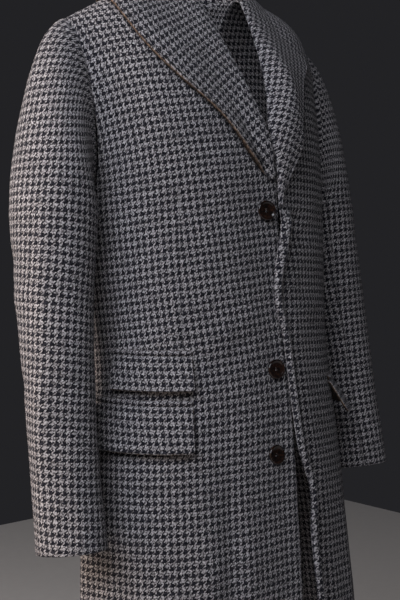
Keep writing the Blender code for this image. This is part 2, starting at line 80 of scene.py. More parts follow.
# Which sides of a shell are free edges (1) and which are seams (0): left, right, bottom and top
FRONT_FREE = (1, 0, 1, 0)
BACK_FREE = (0, 0, 1, 0)
SLEEVE_FREE = (0, 0, 0, 1)
COLLAR_FREE = (0, 1, 1, 0)
FLAP_FREE = (1, 1, 0, 1)
BACK_OUTWARD = -1

# Columns and rows of each shell
FRONT_GRID = (66, 210)
BACK_GRID = (116, 210)
UPPER_GRID = (76, 150)
UNDER_GRID = (34, 150)
COLLAR_GRID = (56, 150)
FLAP_GRID = (56, 40)
TREE_GRID = (40, 80)
EDGE_CROWDING = 1.5

# Rough sizes of the panels, and where their grain is straight, as shares of the rows and columns
FRONT_WIDTH = 0.30
BACK_WIDTH = 0.60
PANEL_LENGTH = 1.07
GRAIN_ROW = 0.45
GRAIN_COLUMN = 0.55

# How the grain of a curved piece is laid flat: rounds, and the share of a pull that each one takes
FRONT_ROUNDS = 500
COLLAR_ROUNDS = 1800
EASING_STEP = 1 / 16
LEAST_LENGTH = 1e-9

# Check of the cloth: eight threads to a repeat, four dark and four pale, in a two-by-two twill
CHECK_WIDTH = 0.0090
CHECK_HEIGHT = 0.0103
THREADS = 8
TWILL = 4

FRONT_TURNS = {RIGHT: (-6.5, -1.5), LEFT: (3.0, 3.0)}
TURN_FROM = -0.40
TURN_SPAN = 0.22

# Noises in the cloth: scale, detail and distance of the wavering, then scales, spans and shades of the rest
WAVERING = ((700.0, 2.0, 0.0013), (60.0, 1.0, 0.0014))
TONE_STEP = 7.31
TONE_SCALE = 0.35
FIBRE_SCALE = 2600.0
FLECK_SCALE = 380.0
BURR_SCALE = 230.0
PATCH_SCALE = 14.0
CLOTH_DETAIL = 3.0
NOISE_SPAN = (0.3, 0.7)
FLECK_SPAN = (0.40, 0.60)
# Threads darker at their edges than at their crowns: painted shade between the threads
CROWN_PAINTED_SHADE = (0.55, 1.08)
FIBRE_SHADES = (0.78, 1.2)
PATCH_SHADES = (0.93, 1.07)
TONE_SHADES = (0.68, 1.32)
CROWN_HEIGHT = 0.7
FIBRE_HEIGHT = 0.5

# Colours, from the darkest fleck to the palest
PALE_WOOL = ((0.105, 0.095, 0.097, 1), (0.60, 0.565, 0.57, 1))
DARK_WOOL = ((0.0045, 0.0045, 0.0075, 1), (0.036, 0.035, 0.044, 1))
# Brown under-collar felt in two copies, painted lit on the rim and painted in shade on the lower rim and the
# underside
LIT_FELT = ((0.050, 0.034, 0.025, 1), (0.27, 0.190, 0.138, 1))
SHADED_FELT = ((0.008, 0.006, 0.005, 1), (0.060, 0.036, 0.022, 1))
SHEEN_TINT = (0.90, 0.88, 0.90, 1)
HORN = ((0.006, 0.004, 0.0035, 1), (0.034, 0.014, 0.008, 1))
WORN_HORN = (0.010, 0.006, 0.005, 1)
BUTTON_THREAD = ((0.010, 0.008, 0.008, 1), (0.045, 0.036, 0.032, 1))
PALE_FLOOR = ((0.50, 0.50, 0.50, 1), (0.56, 0.56, 0.555, 1))

# Body below the arms: one row a level, from the hem up to the chest
ROUNDNESS = 0.87
ARM_DROP = 0.030
CHEST_SHARE = 0.72
DROOP_FROM = 0.5
Section = namedtuple(
    "Section", "height half_width front_depth back_depth centre_y side_degrees right_edge"
)
SECTIONS = (
    Section(-1.040, 0.236, 0.158, 0.138, -0.056, 103, -0.004),
    Section(-0.800, 0.214, 0.148, 0.124, -0.052, 103, -0.019),
    Section(-0.640, 0.204, 0.142, 0.124, -0.042, 103, -0.022),
    Section(-0.470, 0.188, 0.134, 0.120, -0.029, 101, -0.022),
    Section(-0.360, 0.190, 0.134, 0.122, -0.020, 97, -0.022),
    Section(-0.235, 0.197, 0.135, 0.124, -0.010, 90, -0.019),
)
Edge = namedtuple("Edge", "height left_edge")
LEFT_EDGES = (
    Edge(-1.040, 0.064),
    Edge(-0.800, 0.043),
    Edge(-0.715, 0.0375),
    Edge(-0.660, 0.0415),
    Edge(-0.600, 0.0215),
    Edge(-0.520, 0.013),
    Edge(-0.450, 0.0085),
    Edge(-0.390, -0.005),
    Edge(-0.330, 0.006),
    Edge(-0.280, 0.018),
    Edge(-0.235, 0.018),
)
HEM = SECTIONS[0].height
CHEST = SECTIONS[-1].height

# Long soft folds of the skirt: degrees are counted from the centre front, the coat's right is minus
Fold = namedtuple("Fold", "degrees spread top bottom depth")
FOLDS = (
    Fold(-99, 8, -0.56, -0.72, 0.009),
    Fold(-80, 9, -0.62, -0.90, -0.005),
    Fold(-132, 12, -0.66, -1.04, 0.010),
    Fold(-165, 12, -0.70, -1.04, -0.008),
    Fold(160, 13, -0.68, -1.04, 0.010),
    Fold(118, 11, -0.62, -0.95, 0.009),
    Fold(70, 9, -0.70, -1.04, -0.006),
)

# Shoulders, with x counted outwards on either side
NECK_POINT = np.array((0.078, -0.002, 0.030))
SHOULDER_POINT = np.array((0.222, 0.000, -0.033))
SHOULDER_BULGE = 0.007
BACK_NECK = np.array((0.0, 0.070, 0.012))
NECK_SHARE = 0.4
NECK_TUCK = 0.003
NECK_TUCK_IN = 0.0005
TUCK_STEP = 0.06
TUCK_UNTIL = 0.85
TUCK_FADE = 0.15

# How each column of cloth rises from the chest row and reaches the shoulder
Column = namedtuple("Column", "share rise_x rise_y rise_z reach_x reach_y reach_z")
FRONT_COLUMNS = (
    Column(0.0, 0.028, 0.006, 0.085, -0.026, -0.086, -0.038),
    Column(0.5, 0.000, 0.004, 0.095, -0.002, -0.072, -0.006),
    Column(1.0, -0.006, -0.045, 0.012, -0.004, -0.050, -0.020),
)
BACK_COLUMNS = (
    Column(0.0, 0.000, 0.010, 0.090, 0.000, 0.022, -0.070),
    Column(0.4, 0.000, 0.008, 0.090, 0.000, 0.060, -0.020),
    Column(0.7, 0.000, 0.004, 0.090, 0.000, 0.068, -0.008),
    Column(1.0, -0.006, 0.052, 0.012, -0.004, 0.050, -0.020),
)

# Sleeves: rings down the sleeve, with x counted outwards on either side
CAP_SHARE = 0.36
UNDER_FROM = 0.36
UNDER_TO = 0.66
DROP_STEP = 0.02
Ring = namedtuple("Ring", "drop x y z half_across half_along")
RIGHT_RINGS = (
    Ring(0.00, 0.2515, -0.014, -0.285, 0.053, 0.064),
    Ring(0.25, 0.259, -0.025, -0.390, 0.0465, 0.0555),
    Ring(0.50, 0.262, -0.038, -0.495, 0.043, 0.050),
    Ring(0.75, 0.264, -0.050, -0.600, 0.0415, 0.0495),
    Ring(1.00, 0.265, -0.068, -0.708, 0.042, 0.053),
)
LEFT_RINGS = (
    Ring(0.00, 0.2465, -0.012, -0.280, 0.046, 0.062),
    Ring(0.25, 0.253, -0.026, -0.378, 0.0465, 0.0555),
    Ring(0.50, 0.263, -0.042, -0.475, 0.043, 0.050),
    Ring(0.75, 0.268, -0.056, -0.570, 0.0415, 0.0495),
    Ring(1.00, 0.270, -0.074, -0.671, 0.042, 0.052),
)
# How many degrees the rows of the check tilt, down the upper sleeves
TILT_DROPS = (0.04, 0.50, 0.87)
SLEEVE_TILTS = {RIGHT: (-4.5, 8.0, 4.0), LEFT: (0.0, 0.0, 0.0)}
CapColumn = namedtuple("CapColumn", "turn out_x out_y out_z handle")
CAP_COLUMNS = (
    CapColumn(0.00, 0.046, 0.000, -0.010, 0.130),
    CapColumn(0.25, 0.030, -0.020, -0.020, 0.085),
    CapColumn(0.50, 0.024, -0.002, -0.010, 0.012),
    CapColumn(0.75, 0.030, 0.022, -0.020, 0.085),
    CapColumn(1.00, 0.046, 0.000, -0.010, 0.130),
)

# Shawl collar, on the own side: from the break of the lapel (0) past the neck point to the centre back (1)
NECK_STATION = 0.62
STAND_SHARE = 0.3
ROLL_HANDLE = 0.011
STAND_LEAVES = 0.4
STAND_ARRIVES = 0.6
FALL_ARRIVES = 0.35
BULGE_ARRIVES = 0.15
LAPEL_BULGES = {RIGHT: 0.0, LEFT: 0.036}
BULGE_STATION = 0.25
BULGE_SPREAD = 0.13
FALL_LIFT = 0.006
BREAK_STATION = 0.124
Break = namedtuple("Break", "drop tuck lift")
BREAKS = {RIGHT: Break(0.0, 0.010, 0.0046), LEFT: Break(0.033, 0.0, 0.0)}
BREAK_THIN = 0.5
STAND_CLOTH = 0.0019
BREAK_CLEAR = 0.0028
COLLAR_CLEAR = DOUBLE_CLOTH + 0.0026
LAPEL_SPRINGS = {RIGHT: 0.0045, LEFT: 0.0}
SPRING_STATION = 0.16
SPRING_SPREAD = 0.09
SPRING_START = 0.08
SPRING_FROM = 0.65
SPRING_SPAN = 0.35
LAPEL_RIM = 0.0030
RIM_SWELL = 1.2
RIM_STATION = 0.09
RIM_SPREAD = 0.05
RIM_START = 0.06
RIM_WIDTH = 0.07
SHOULDER_CLEAR = 0.0026
SHOULDER_SPREAD = 0.09
CLEAR_SHARE = 0.4
DOUBLE_SPAN = 0.25
LEVEL_FROM = 0.9
LEVEL_SPAN = 0.1
# Where the collar's underside takes the painted felt, up from the break
PAINTED_FELT_FROM = 0.015
PAINTED_FELT_SPAN = 0.03
Fall = namedtuple("Fall", "station roll_x roll_y roll_z turn_x turn_y turn_z edge_x edge_y edge_z")
RIGHT_LAPEL = (
    Fall(0.000, -0.0085, -0.152, -0.230, 0.10, -1.00, 0.10, -0.003, -0.1515, -0.239),
    Fall(0.124, -0.0005, -0.150, -0.180, 0.15, -0.95, 0.20, 0.038, -0.140, -0.200),
    Fall(0.248, 0.018, -0.126, -0.112, 0.25, -0.85, 0.40, 0.077, -0.122, -0.150),
    Fall(0.372, 0.031, -0.093, -0.050, 0.40, -0.65, 0.60, 0.126, -0.099, -0.101),
)
LEFT_LAPEL = (
    Fall(0.000, 0.0160, -0.1545, -0.270, 0.10, -1.00, 0.10, 0.0225, -0.1555, -0.277),
    Fall(0.060, 0.0125, -0.1545, -0.226, 0.10, -1.00, 0.10, 0.0275, -0.158, -0.2455),
    Fall(0.124, 0.0010, -0.152, -0.180, 0.30, -0.92, 0.15, 0.045, -0.1665, -0.202),
    Fall(0.248, 0.018, -0.126, -0.112, 0.50, -0.80, 0.25, 0.0605, -0.158, -0.156),
    Fall(0.372, 0.031, -0.093, -0.050, 0.55, -0.60, 0.55, 0.0985, -0.1232, -0.1015),
)
COLLAR_BACK = (
    Fall(0.496, 0.042, -0.055, 0.008, 0.65, -0.40, 0.60, 0.157, -0.070, -0.056),
    Fall(0.620, 0.060, -0.004, 0.060, 0.97, -0.10, 0.20, 0.166, -0.004, -0.001),
    Fall(0.750, 0.056, 0.033, 0.066, 0.80, 0.55, 0.15, 0.130, 0.058, 0.000),
    Fall(0.880, 0.031, 0.056, 0.069, 0.45, 0.88, 0.15, 0.072, 0.092, -0.018),
    Fall(1.000, 0.000, 0.064, 0.070, 0.00, 1.00, 0.15, 0.000, 0.103, -0.024),
)

# Pocket flaps: degrees round the body from the centre front, and how far the lower edge stands off
FlapSize = namedtuple("FlapSize", "name side front_degrees rear_degrees top bottom stand_off")
FLAPS = (
    FlapSize("ticket_flap_right", RIGHT, 38.5, 82, -0.466, -0.510, 0.009),
    FlapSize("pocket_flap_right", RIGHT, 39, 96, -0.530, -0.588, 0.010),
    FlapSize("pocket_flap_left", LEFT, 39, 96, -0.520, -0.564, 0.022),
)
JET_HEIGHT = 0.008
JET_RISE = 0.0034
FLAP_FOLD = 0.004
FLAP_CORNER = 0.006
JET_SEAT = 0.0004
FLAP_SEAT = 0.0003
FLAP_SWELL = 0.0008
BODY_RADIUS = 0.17
ANGLE_STEP = 0.01

# Dart of the right front, above its pocket
DART_ACROSS = 0.452
DART_COLUMNS = np.array((-0.020, -0.012, -0.006, -0.001, 0.001, 0.006, 0.012, 0.020))
DART_INTAKE = 0.010
DART_TOP = -0.20
DART_FOOT = -0.505
DART_WIDENS = 0.20
DART_CLOSES = 0.03
DART_DEPTH = 0.0012
DART_WIDTH = 0.010
DART_EASE = 0.45
DART_CLEAR = 0.004

# Roll of the front edges: fuller towards the lapel, with a hollow behind the crest
EDGE_ROLL = {RIGHT: 0.0008, LEFT: 0.0055}
EDGE_ROLL_TOP = {RIGHT: -0.262, LEFT: -0.298}
EDGE_ROLL_FADE = 0.03
EDGE_FULLNESS = 1.5
EDGE_EXTRA_FULLNESS = 0.8
EDGE_FULL_FROM = -0.42
EDGE_FULL_SPAN = 0.13
EDGE_CREST = 0.0055
EDGE_HOLLOW = 0.019
EDGE_HOLLOW_WIDTH = 0.0065
EDGE_HOLLOW_SHARE = 0.6

# Slight waviness of worn cloth, from the place alone
Wave = namedtuple("Wave", "x y z start")
SLOW_WAVES = (Wave(23, 0, 11, 0.7), Wave(0, 19, -17, 2.1), Wave(13, -21, 27, 0.0))
QUICK_WAVES = (Wave(71, 0, 47, 0.0), Wave(0, 63, -39, 1.3))
SLOW_DEPTH = 0.0005
QUICK_DEPTH = 0.0003

# Soft creases laid from place to place: half width, and how far out (minus is a trough)
CREASE_FADE = 0.3
CREASE_UNEVEN = 0.3
CREASE_WAVES = 11
CREASE_PHASE = 700
Crease = namedtuple("Crease", "start end width depth")
BODY_CREASES = (
    Crease((-0.086, -0.164, -0.520), (-0.106, -0.200, -1.25), 0.014, -0.0072),
    Crease((-0.121, -0.164, -0.600), (-0.142, -0.190, -1.20), 0.016, 0.0038),
    Crease((-0.056, -0.175, -0.580), (-0.086, -0.198, -1.20), 0.013, 0.0026),
    Crease((-0.196, -0.062, -0.570), (-0.216, -0.086, -1.15), 0.012, 0.0045),
    Crease((-0.124, -0.134, -0.462), (-0.022, -0.158, -0.405), 0.014, 0.0024),
    Crease((-0.124, -0.140, -0.505), (-0.026, -0.163, -0.440), 0.015, -0.0020),
    Crease((-0.138, -0.120, -0.370), (-0.140, -0.125, -0.470), 0.010, 0.0022),
    Crease((-0.150, -0.112, -0.260), (-0.060, -0.147, -0.300), 0.016, -0.0022),
    Crease((0.030, -0.152, -0.330), (0.150, -0.112, -0.285), 0.014, -0.0036),
    Crease((0.040, -0.155, -0.400), (0.150, -0.125, -0.430), 0.015, 0.0032),
    Crease((0.070, -0.180, -0.600), (0.096, -0.200, -1.20), 0.014, -0.0045),
    Crease((0.130, -0.160, -0.580), (0.150, -0.180, -1.20), 0.015, 0.0036),
    Crease((-0.120, 0.100, -0.215), (0.060, 0.113, -0.245), 0.016, -0.0032),
    Crease((-0.060, 0.110, -0.280), (0.130, 0.098, -0.310), 0.015, 0.0026),
    Crease((-0.100, 0.092, -0.420), (0.080, 0.094, -0.400), 0.014, -0.0028),
    Crease((0.020, 0.080, -0.560), (0.030, 0.085, -1.20), 0.013, -0.0040),
)
SLEEVE_CREASES = (
    Crease((-0.300, 0.030, -0.348), (-0.270, -0.080, -0.318), 0.012, -0.0052),
    Crease((-0.304, 0.020, -0.398), (-0.284, -0.070, -0.372), 0.012, 0.0030),
    Crease((-0.296, 0.018, -0.505), (-0.268, -0.090, -0.478), 0.011, -0.0042),
    Crease((-0.300, -0.052, -0.100), (-0.304, -0.062, -0.700), 0.013, 0.0024),
    Crease((-0.262, -0.092, -0.400), (-0.270, -0.116, -0.740), 0.012, -0.0026),
    Crease((-0.303, -0.056, -0.440), (-0.305, -0.066, -0.740), 0.015, 0.0034),
    Crease((-0.290, -0.092, -0.440), (-0.294, -0.110, -0.740), 0.016, -0.0034),
    Crease((0.300, 0.028, -0.340), (0.262, -0.082, -0.312), 0.012, -0.0048),
    Crease((0.304, 0.000, -0.450), (0.258, -0.090, -0.420), 0.011, -0.0040),
    Crease((0.302, 0.010, -0.540), (0.270, -0.100, -0.560), 0.012, 0.0030),
    Crease((0.255, 0.040, -0.300), (0.262, 0.000, -0.650), 0.012, -0.0030),
)

# Horn buttons on the right front
BUTTON_RADIUS = 0.0132
BUTTON_FOOT = 0.82
BUTTON_THICK = 0.0046
HOLE_RADIUS = 0.0012
HOLE_OFFSET = 0.0027
BUTTON_SEGMENTS = 72
BUTTON_SEAT = 0.0005
DISH_FLOOR = 0.0022
HOLE_SEGMENTS = 20
HOLE_DEPTH = 0.02
HOLE_MIDDLE = 0.002
MERGE_DISTANCE = 0.00001
SHARP_DEGREES = 50
PROBE_LIFT = 0.01
PROBE_TURN = 0.05
THREAD_RADIUS = 0.0006
THREAD_SIDES = 10
THREAD_SPACING = 0.8
THREAD_ENDS = (-0.0004, 0.0018)
THREAD_SLOT = 1
STITCH_LIFT = 0.9
STITCH_CROSSING = 1.6
ARCH_STEPS = 8
ARCH_DROP = 0.25
Button = namedtuple("Button", "name own_x height tilt_degrees")
BUTTONS = (
    Button("button_1", 0.0065, -0.279, 14),
    Button("button_2", 0.0036, -0.490, 8),
    Button("button_3", 0.0150, -0.6016, 0),
)

# Cut of each cloth piece: widest, longest, flat area and how it is held
Cut = namedtuple("Cut", "width length area held")

# Camera and stage
CAMERA_PLACE = (-1.0678, -1.2183, -0.30)
CAMERA_DEGREES = (86.265, 0.0, -41.5)
CAMERA_LENS = 67.56
FLOOR_HEIGHT = -1.42
FLOOR_HALF = 2.4
STAGE_MIDDLE = (-0.1, -0.05, -0.45)
SENSOR_WIDTH = 36.0
WORLD_COLOUR = (0.016, 0.016, 0.018, 1.0)
Light = namedtuple("Light", "name place size power colour")
LIGHTS = (
    Light("sky", (-1.80, -1.03, 0.93), (1.3, 1.3), 28, (0.87, 0.91, 1.0)),
    Light("window", (-0.90, -1.75, 1.05), (0.5, 0.6), 6, (0.88, 0.93, 1.0)),
    Light("high_side", (-2.06, -0.22, 0.93), (1.3, 1.3), 15, (0.80, 0.86, 1.0)),
    Light("warm_side", (-2.30, 0.55, -0.50), (1.3, 1.3), 11, (1.0, 0.74, 0.50)),
    Light("rim", (-1.95, 1.10, 0.70), (0.7, 1.5), 48, (1.0, 0.88, 0.80)),
)


class Track:
    """A smooth line through one column of a table."""

    def __init__(self, rows, key, value):
        self.keys = np.array([getattr(row, key) for row in rows], float)
        self.values = np.array([getattr(row, value) for row in rows], float)
        self.slopes = np.gradient(self.values, self.keys)

    def at(self, key):
        key = np.clip(key, self.keys[0], self.keys[-1])
        index = np.clip(np.searchsorted(self.keys, key) - 1, 0, len(self.keys) - 2)
        span = self.keys[index + 1] - self.keys[index]
        share = (key - self.keys[index]) / span
        square = share * share
        cube = square * share
        start = (2 * cube - 3 * square + 1) * self.values[index]
        start_slope = (cube - 2 * square + share) * span * self.slopes[index]
        end = (3 * square - 2 * cube) * self.values[index + 1]
        end_slope = (cube - square) * span * self.slopes[index + 1]
        return start + start_slope + end + end_slope


class Table:
    """Smooth lines through every column of a table, looked up by its first column."""

    def __init__(self, rows):
        names = rows[0]._fields
        self.tracks = {name: Track(rows, names[0], name) for name in names[1:]}

    def one(self, key, name):
        return self.tracks[name].at(key)

    def at(self, key, *names):
        return np.stack([self.tracks[name].at(key) for name in names], axis=-1)

    def place(self, key, word):
        return self.at(key, word + "_x", word + "_y", word + "_z")


BODY = Table(SECTIONS)
LEFT_FRONT = Table(LEFT_EDGES)
FRONT_RISE = Table(FRONT_COLUMNS)
BACK_RISE = Table(BACK_COLUMNS)
CAP = Table(CAP_COLUMNS)
ARMS = {RIGHT: Table(RIGHT_RINGS), LEFT: Table(LEFT_RINGS)}
COLLARS = {RIGHT: Table(RIGHT_LAPEL + COLLAR_BACK), LEFT: Table(LEFT_LAPEL + COLLAR_BACK)}


def limited(value):
    return np.clip(value, 0.0, 1.0)


def spread(*values):
    """The values as number arrays of one shape."""
    return np.broadcast_arrays(*(np.asarray(value, float) for value in values))


def ease(value):
    value = limited(value)
    return value * value * (3 - 2 * value)


def bump(value):
    return np.exp(-(value**2))


def unit(vectors):
    return vectors / np.linalg.norm(vectors, axis=-1, keepdims=True)


def mirrored(points, side):
    return points * np.array((side, 1.0, 1.0))


def bezier(start, rise, reach, end, share):
    """A cubic curve that leaves start along rise and arrives at end from end + reach."""
    share = np.asarray(share)[..., None]
    rest = 1 - share
    first = start + rise
    second = end + reach
    return rest**3 * start + 3 * rest**2 * share * first + 3 * rest * share**2 * second + share**3 * end


def fold_depth(side, angle, height):
    """How far the long folds push the cloth out at this angle and height."""
    depth = 0.0
    for fold in FOLDS:
        away = np.degrees(angle) * side - fold.degrees
        away = (away + 180) % 360 - 180
        fall = ease((fold.top - height) / (fold.top - fold.bottom))
        depth = depth + fold.depth * fall * bump(away / fold.spread)
    return depth


def body_point(side, angle, height):
    """A point of the body below the arms: angle 0 is the centre front and 180 degrees the centre back."""
    half_width = BODY.one(height, "half_width")
    across = np.sign(np.sin(angle)) * np.abs(np.sin(angle)) ** ROUNDNESS
    along = np.sign(np.cos(angle)) * np.abs(np.cos(angle)) ** ROUNDNESS
    depth = np.where(along > 0, BODY.one(height, "front_depth"), BODY.one(height, "back_depth"))
    level = across * 0.0
    outward = unit(np.stack((across / half_width, -along / depth, level), axis=-1))
    centre = BODY.one(height, "centre_y")
    point = np.stack((half_width * across, centre - depth * along, height + level), axis=-1)
    return point + outward * fold_depth(side, angle, height)[..., None]


def side_seam(height):
    return np.radians(BODY.one(height, "side_degrees"))


def edge_angle(side, height):
    """The angle at which a front panel's edge stands."""
    edge = BODY.one(height, "right_edge") if side == RIGHT else LEFT_FRONT.one(height, "left_edge")
    share = (np.abs(edge) / BODY.one(height, "half_width")) ** (1 / ROUNDNESS)
    return np.sign(edge) * np.arcsin(share)


def row_height(share_up, share_across):
    """Rows run level at the hem and droop towards the armpit at the chest."""
    height = HEM + (CHEST - HEM) * share_up
    return height - ARM_DROP * ease(share_across) * ease((share_up - DROOP_FROM) / (1 - DROOP_FROM))


def shoulder_seam(share):
    share = np.asarray(share, float)
    point = NECK_POINT + (SHOULDER_POINT - NECK_POINT) * share[..., None]
    point[..., 2] += SHOULDER_BULGE * np.sin(np.pi * share)
    return point


def panel_point(below, columns, share, top, up):
    """A panel's point: on the body up to the chest row, then on the curve from there to the panel's top."""
    rising = limited((up - CHEST_SHARE) / (1 - CHEST_SHARE))
    above = bezier(below, columns.place(share, "rise"), columns.place(share, "reach"), top, rising)
    return np.where(up[..., None] <= CHEST_SHARE, below, above)


def front_own(side, across, up):
    """A point of a front panel, with x counted outwards on its own side, before the lap."""
    across, up = spread(across, up)
    height = row_height(limited(up / CHEST_SHARE), across)
    start = edge_angle(side, height)
    below = body_point(side, start + (side_seam(height) - start) * across, height)
    return panel_point(below, FRONT_RISE, across, shoulder_seam(across), up)


def front_point(side, across, up):
    """A point of the outside of a front panel; the left one stands off where it laps over the right."""
    point = front_own(side, across, up)
    if side == LEFT:
        lap = 1 - ease((point[..., 0] - LAP_FROM) / LAP_FADE)
        point = point + unit(point * LAP_OUT) * LAP_LIFT * lap[..., None]
    return mirrored(point, side)


def back_top(share):
    share = np.asarray(share, float)
    turn = np.pi / 2 * limited(share / NECK_SHARE)
    neck = np.stack(
        (
            NECK_POINT[0] * np.sin(turn),
            NECK_POINT[1] + (BACK_NECK[1] - NECK_POINT[1]) * np.cos(turn),
            BACK_NECK[2] + (NECK_POINT[2] - BACK_NECK[2]) * (1 - np.cos(turn)),
        ),
        axis=-1,
    )
    seam = shoulder_seam(limited((share - NECK_SHARE) / (1 - NECK_SHARE)))
    return np.where(share[..., None] >= NECK_SHARE, seam, neck)


def back_point(across, up):
    """A point of the outside of the back, from the right side seam to the left one."""
    across, up = spread(across, up)
    signed = 2 * across - 1
    share = np.abs(signed)
    side = np.where(signed < 0, -1.0, 1.0)
    height = row_height(limited(up / CHEST_SHARE), share)
    angle = np.pi - (np.pi - side_seam(height)) * share
    below = body_point(side, angle, height)
    point = panel_point(below, BACK_RISE, share, back_top(share), up)
    point[..., 0] *= side
    return point


def armhole(side, turn):
    """The armhole on the own side: turn 0 is the shoulder point, then front, armpit and back."""
    turn = np.asarray(turn, float) % 1.0
    front_up = 1 - (1 - CHEST_SHARE) * np.clip(turn, 0.0, 0.5) * 2
    back_up = CHEST_SHARE + (1 - CHEST_SHARE) * (np.clip(turn, 0.5, 1.0) - 0.5) * 2
    return np.where(turn[..., None] <= 0.5, front_own(side, 1.0, front_up), back_point(1.0, back_up))


def arm_ring(side, turn, drop):
    """A point of the sleeve below the cap, and the direction down the arm there."""
    arm = ARMS[side]
    centre = arm.at(drop, "x", "y", "z")
    ahead = arm.at(np.minimum(drop + DROP_STEP, 1.0), "x", "y", "z")
    behind = arm.at(np.maximum(drop - DROP_STEP, 0.0), "x", "y", "z")
    down = unit(ahead - behind)
    level = np.array((1.0, 0.0, 0.0))
    outward = unit(level - down * down[..., :1])
    forward = np.cross(down, outward)
    angle = 2 * np.pi * turn
    across = (arm.one(drop, "half_across") * np.cos(angle))[..., None]
    along = (arm.one(drop, "half_along") * np.sin(angle))[..., None]
    return centre + outward * across + forward * along, down


def sleeve_point(side, turn, drop):
    """A point of the outside of a sleeve: turn 0 faces out, 0.25 forward, 0.5 in and 0.75 back."""
    turn, drop = spread(turn, drop)
    below = limited((drop - CAP_SHARE) / (1 - CAP_SHARE))
    arm, _ = arm_ring(side, turn, below)
    end, down = arm_ring(side, turn, turn * 0.0)
    out = CAP.place(turn % 1.0, "out")
    handle = CAP.at(turn % 1.0, "handle")
    start = armhole(side, turn) + unit(out) * SEAM_GAP * 1.5
    cap = bezier(start, out, -down * handle, end, limited(drop / CAP_SHARE))
    return mirrored(np.where(drop[..., None] >= CAP_SHARE, arm, cap), side)


def collar_seam(side, station):
    """The line where the collar is sewn on: up the edge of the front, then round the back neck."""
    near_break = 1 - ease(station / BREAK_STATION)
    up = CHEST_SHARE + (1 - CHEST_SHARE) * limited(station / NECK_STATION)
    up = up - BREAKS[side].drop * near_break
    front = mirrored(front_point(side, BREAKS[side].tuck * near_break, up), side)
    front[..., 1] -= BREAKS[side].lift * near_break
    share = NECK_SHARE * limited((1 - station) / (1 - NECK_STATION))
    return np.where(station[..., None] <= NECK_STATION, front, back_top(share))


def break_share(station):
    """How full the collar is: half at the break of the lapel, whole a little above it."""
    return BREAK_THIN + (1 - BREAK_THIN) * ease(station / BREAK_STATION)


def collar_point(side, across, station):
    """A point of the collar: across 0 is the seam, STAND_SHARE the roll and 1 the edge."""
    across, station = spread(across, station)
    table = COLLARS[side]
    roll = table.place(station, "roll")
    full = break_share(station)
    bulge = LAPEL_BULGES[side] * bump((station - BULGE_STATION) / BULGE_SPREAD)
    turn = unit(table.place(station, "turn"))
    edge = table.place(station, "edge")
    seam = collar_seam(side, station)
    seam = seam + unit(roll - seam) * SEAM_GAP * 2
    tight = turn * (ROLL_HANDLE * full)[..., None]
    leaving = (roll - seam) * STAND_LEAVES
    stand = bezier(seam, leaving, -tight * STAND_ARRIVES, roll, limited(across / STAND_SHARE))
    handle = turn * ((ROLL_HANDLE + bulge) * full)[..., None]
    lift = (FALL_LIFT + bulge * BULGE_ARRIVES) * full
    reach = (roll - edge) * FALL_ARRIVES + turn * lift[..., None]
    falling = limited((across - STAND_SHARE) / (1 - STAND_SHARE))
    fall = bezier(roll, handle, reach, edge, falling)
    own = np.where(across[..., None] <= STAND_SHARE, stand, fall)
    least = np.where(station > NECK_STATION, SEAM_GAP / 2, -1.0)
    own[..., 0] = np.maximum(own[..., 0], least)
    return mirrored(own, side)


# Shells


def grid_shares(grid, start=0.0, end=1.0):
    """Shares along the rows and the columns of a grid, shaped to be combined."""
    columns, rows = grid
    return np.linspace(start, end, columns + 1)[None, :], np.linspace(0.0, 1.0, rows + 1)[:, None]


def grid_faces(rows, columns, first, flipped):
    """Four-cornered faces of a grid of points that starts at index first."""
    corner = first + np.arange(rows - 1)[:, None] * columns + np.arange(columns - 1)
    ring = np.stack((corner, corner + 1, corner + columns + 1, corner + columns), axis=-1).reshape(-1, 4)
    return ring[:, ::-1] if flipped else ring


def grid_normals(points, outward):
    sideways = np.gradient(points, axis=1)
    upwards = np.gradient(points, axis=0)
    return unit(np.cross(sideways, upwards)) * outward


def loop_of(rows, columns):
    """The grid indices round the edge of a grid, in order."""
    bottom = [(0, c) for c in range(columns)]
    right = [(r, columns - 1) for r in range(1, rows)]
    top = [(rows - 1, c) for c in range(columns - 2, -1, -1)]
    left = [(r, 0) for r in range(rows - 2, 0, -1)]
    return np.array(bottom + right + top + left)


def edge_directions(grid):
    """Which way lies off the grid, at each of its points, as a field that only counts at the edge."""
    sideways = unit(np.gradient(grid, axis=1))
    upwards = unit(np.gradient(grid, axis=0))
    away = np.zeros_like(grid)
    away[:, 0] -= sideways[:, 0]
    away[:, -1] += sideways[:, -1]
    away[0] -= upwards[0]
    away[-1] += upwards[-1]
    return away


def side_values(rows, columns, sides):
    """One value for each point of the edge, from one each for the left, right, bottom and top side."""
    left, right, bottom, top = sides
    field = np.zeros((rows, columns))
    field[:, 0] = left
    field[:, -1] = right
    field[0] = np.maximum(field[0], bottom)
    field[-1] = np.maximum(field[-1], top)
    return field


def metric_map(points, outward, anchor_row, anchor_column):
    """Cloth coordinates in metres: along the rows from one column, and along the columns from one row."""
    across = np.linalg.norm(np.diff(points, axis=1), axis=-1)
    across = np.pad(np.cumsum(across, axis=1), ((0, 0), (1, 0)))
    across = across - across[:, anchor_column : anchor_column + 1]
    up = np.linalg.norm(np.diff(points, axis=0), axis=-1)
    up = np.pad(np.cumsum(up, axis=0), ((1, 0), (0, 0)))
    up = up - up[anchor_row : anchor_row + 1]
    return np.stack((across * outward, up), axis=-1)


def turned(grain, degrees):
    angle = np.radians(degrees)
    u, v = grain[..., 0], grain[..., 1]
    return np.stack((u * np.cos(angle) - v * np.sin(angle), u * np.sin(angle) + v * np.cos(angle)), axis=-1)


def tilted(grain, degrees):
    """The grain with its rows and columns tilted by an angle that changes down the piece."""
    slope = np.tan(np.radians(degrees))
    u, v = grain[..., 0], grain[..., 1]
    slip = np.zeros_like(u)
    slip[1:] = np.cumsum(np.diff(v, axis=0) * (slope[1:] + slope[:-1]) / 2, axis=0)
    return np.stack((u - slip, v + u * slope), axis=-1)


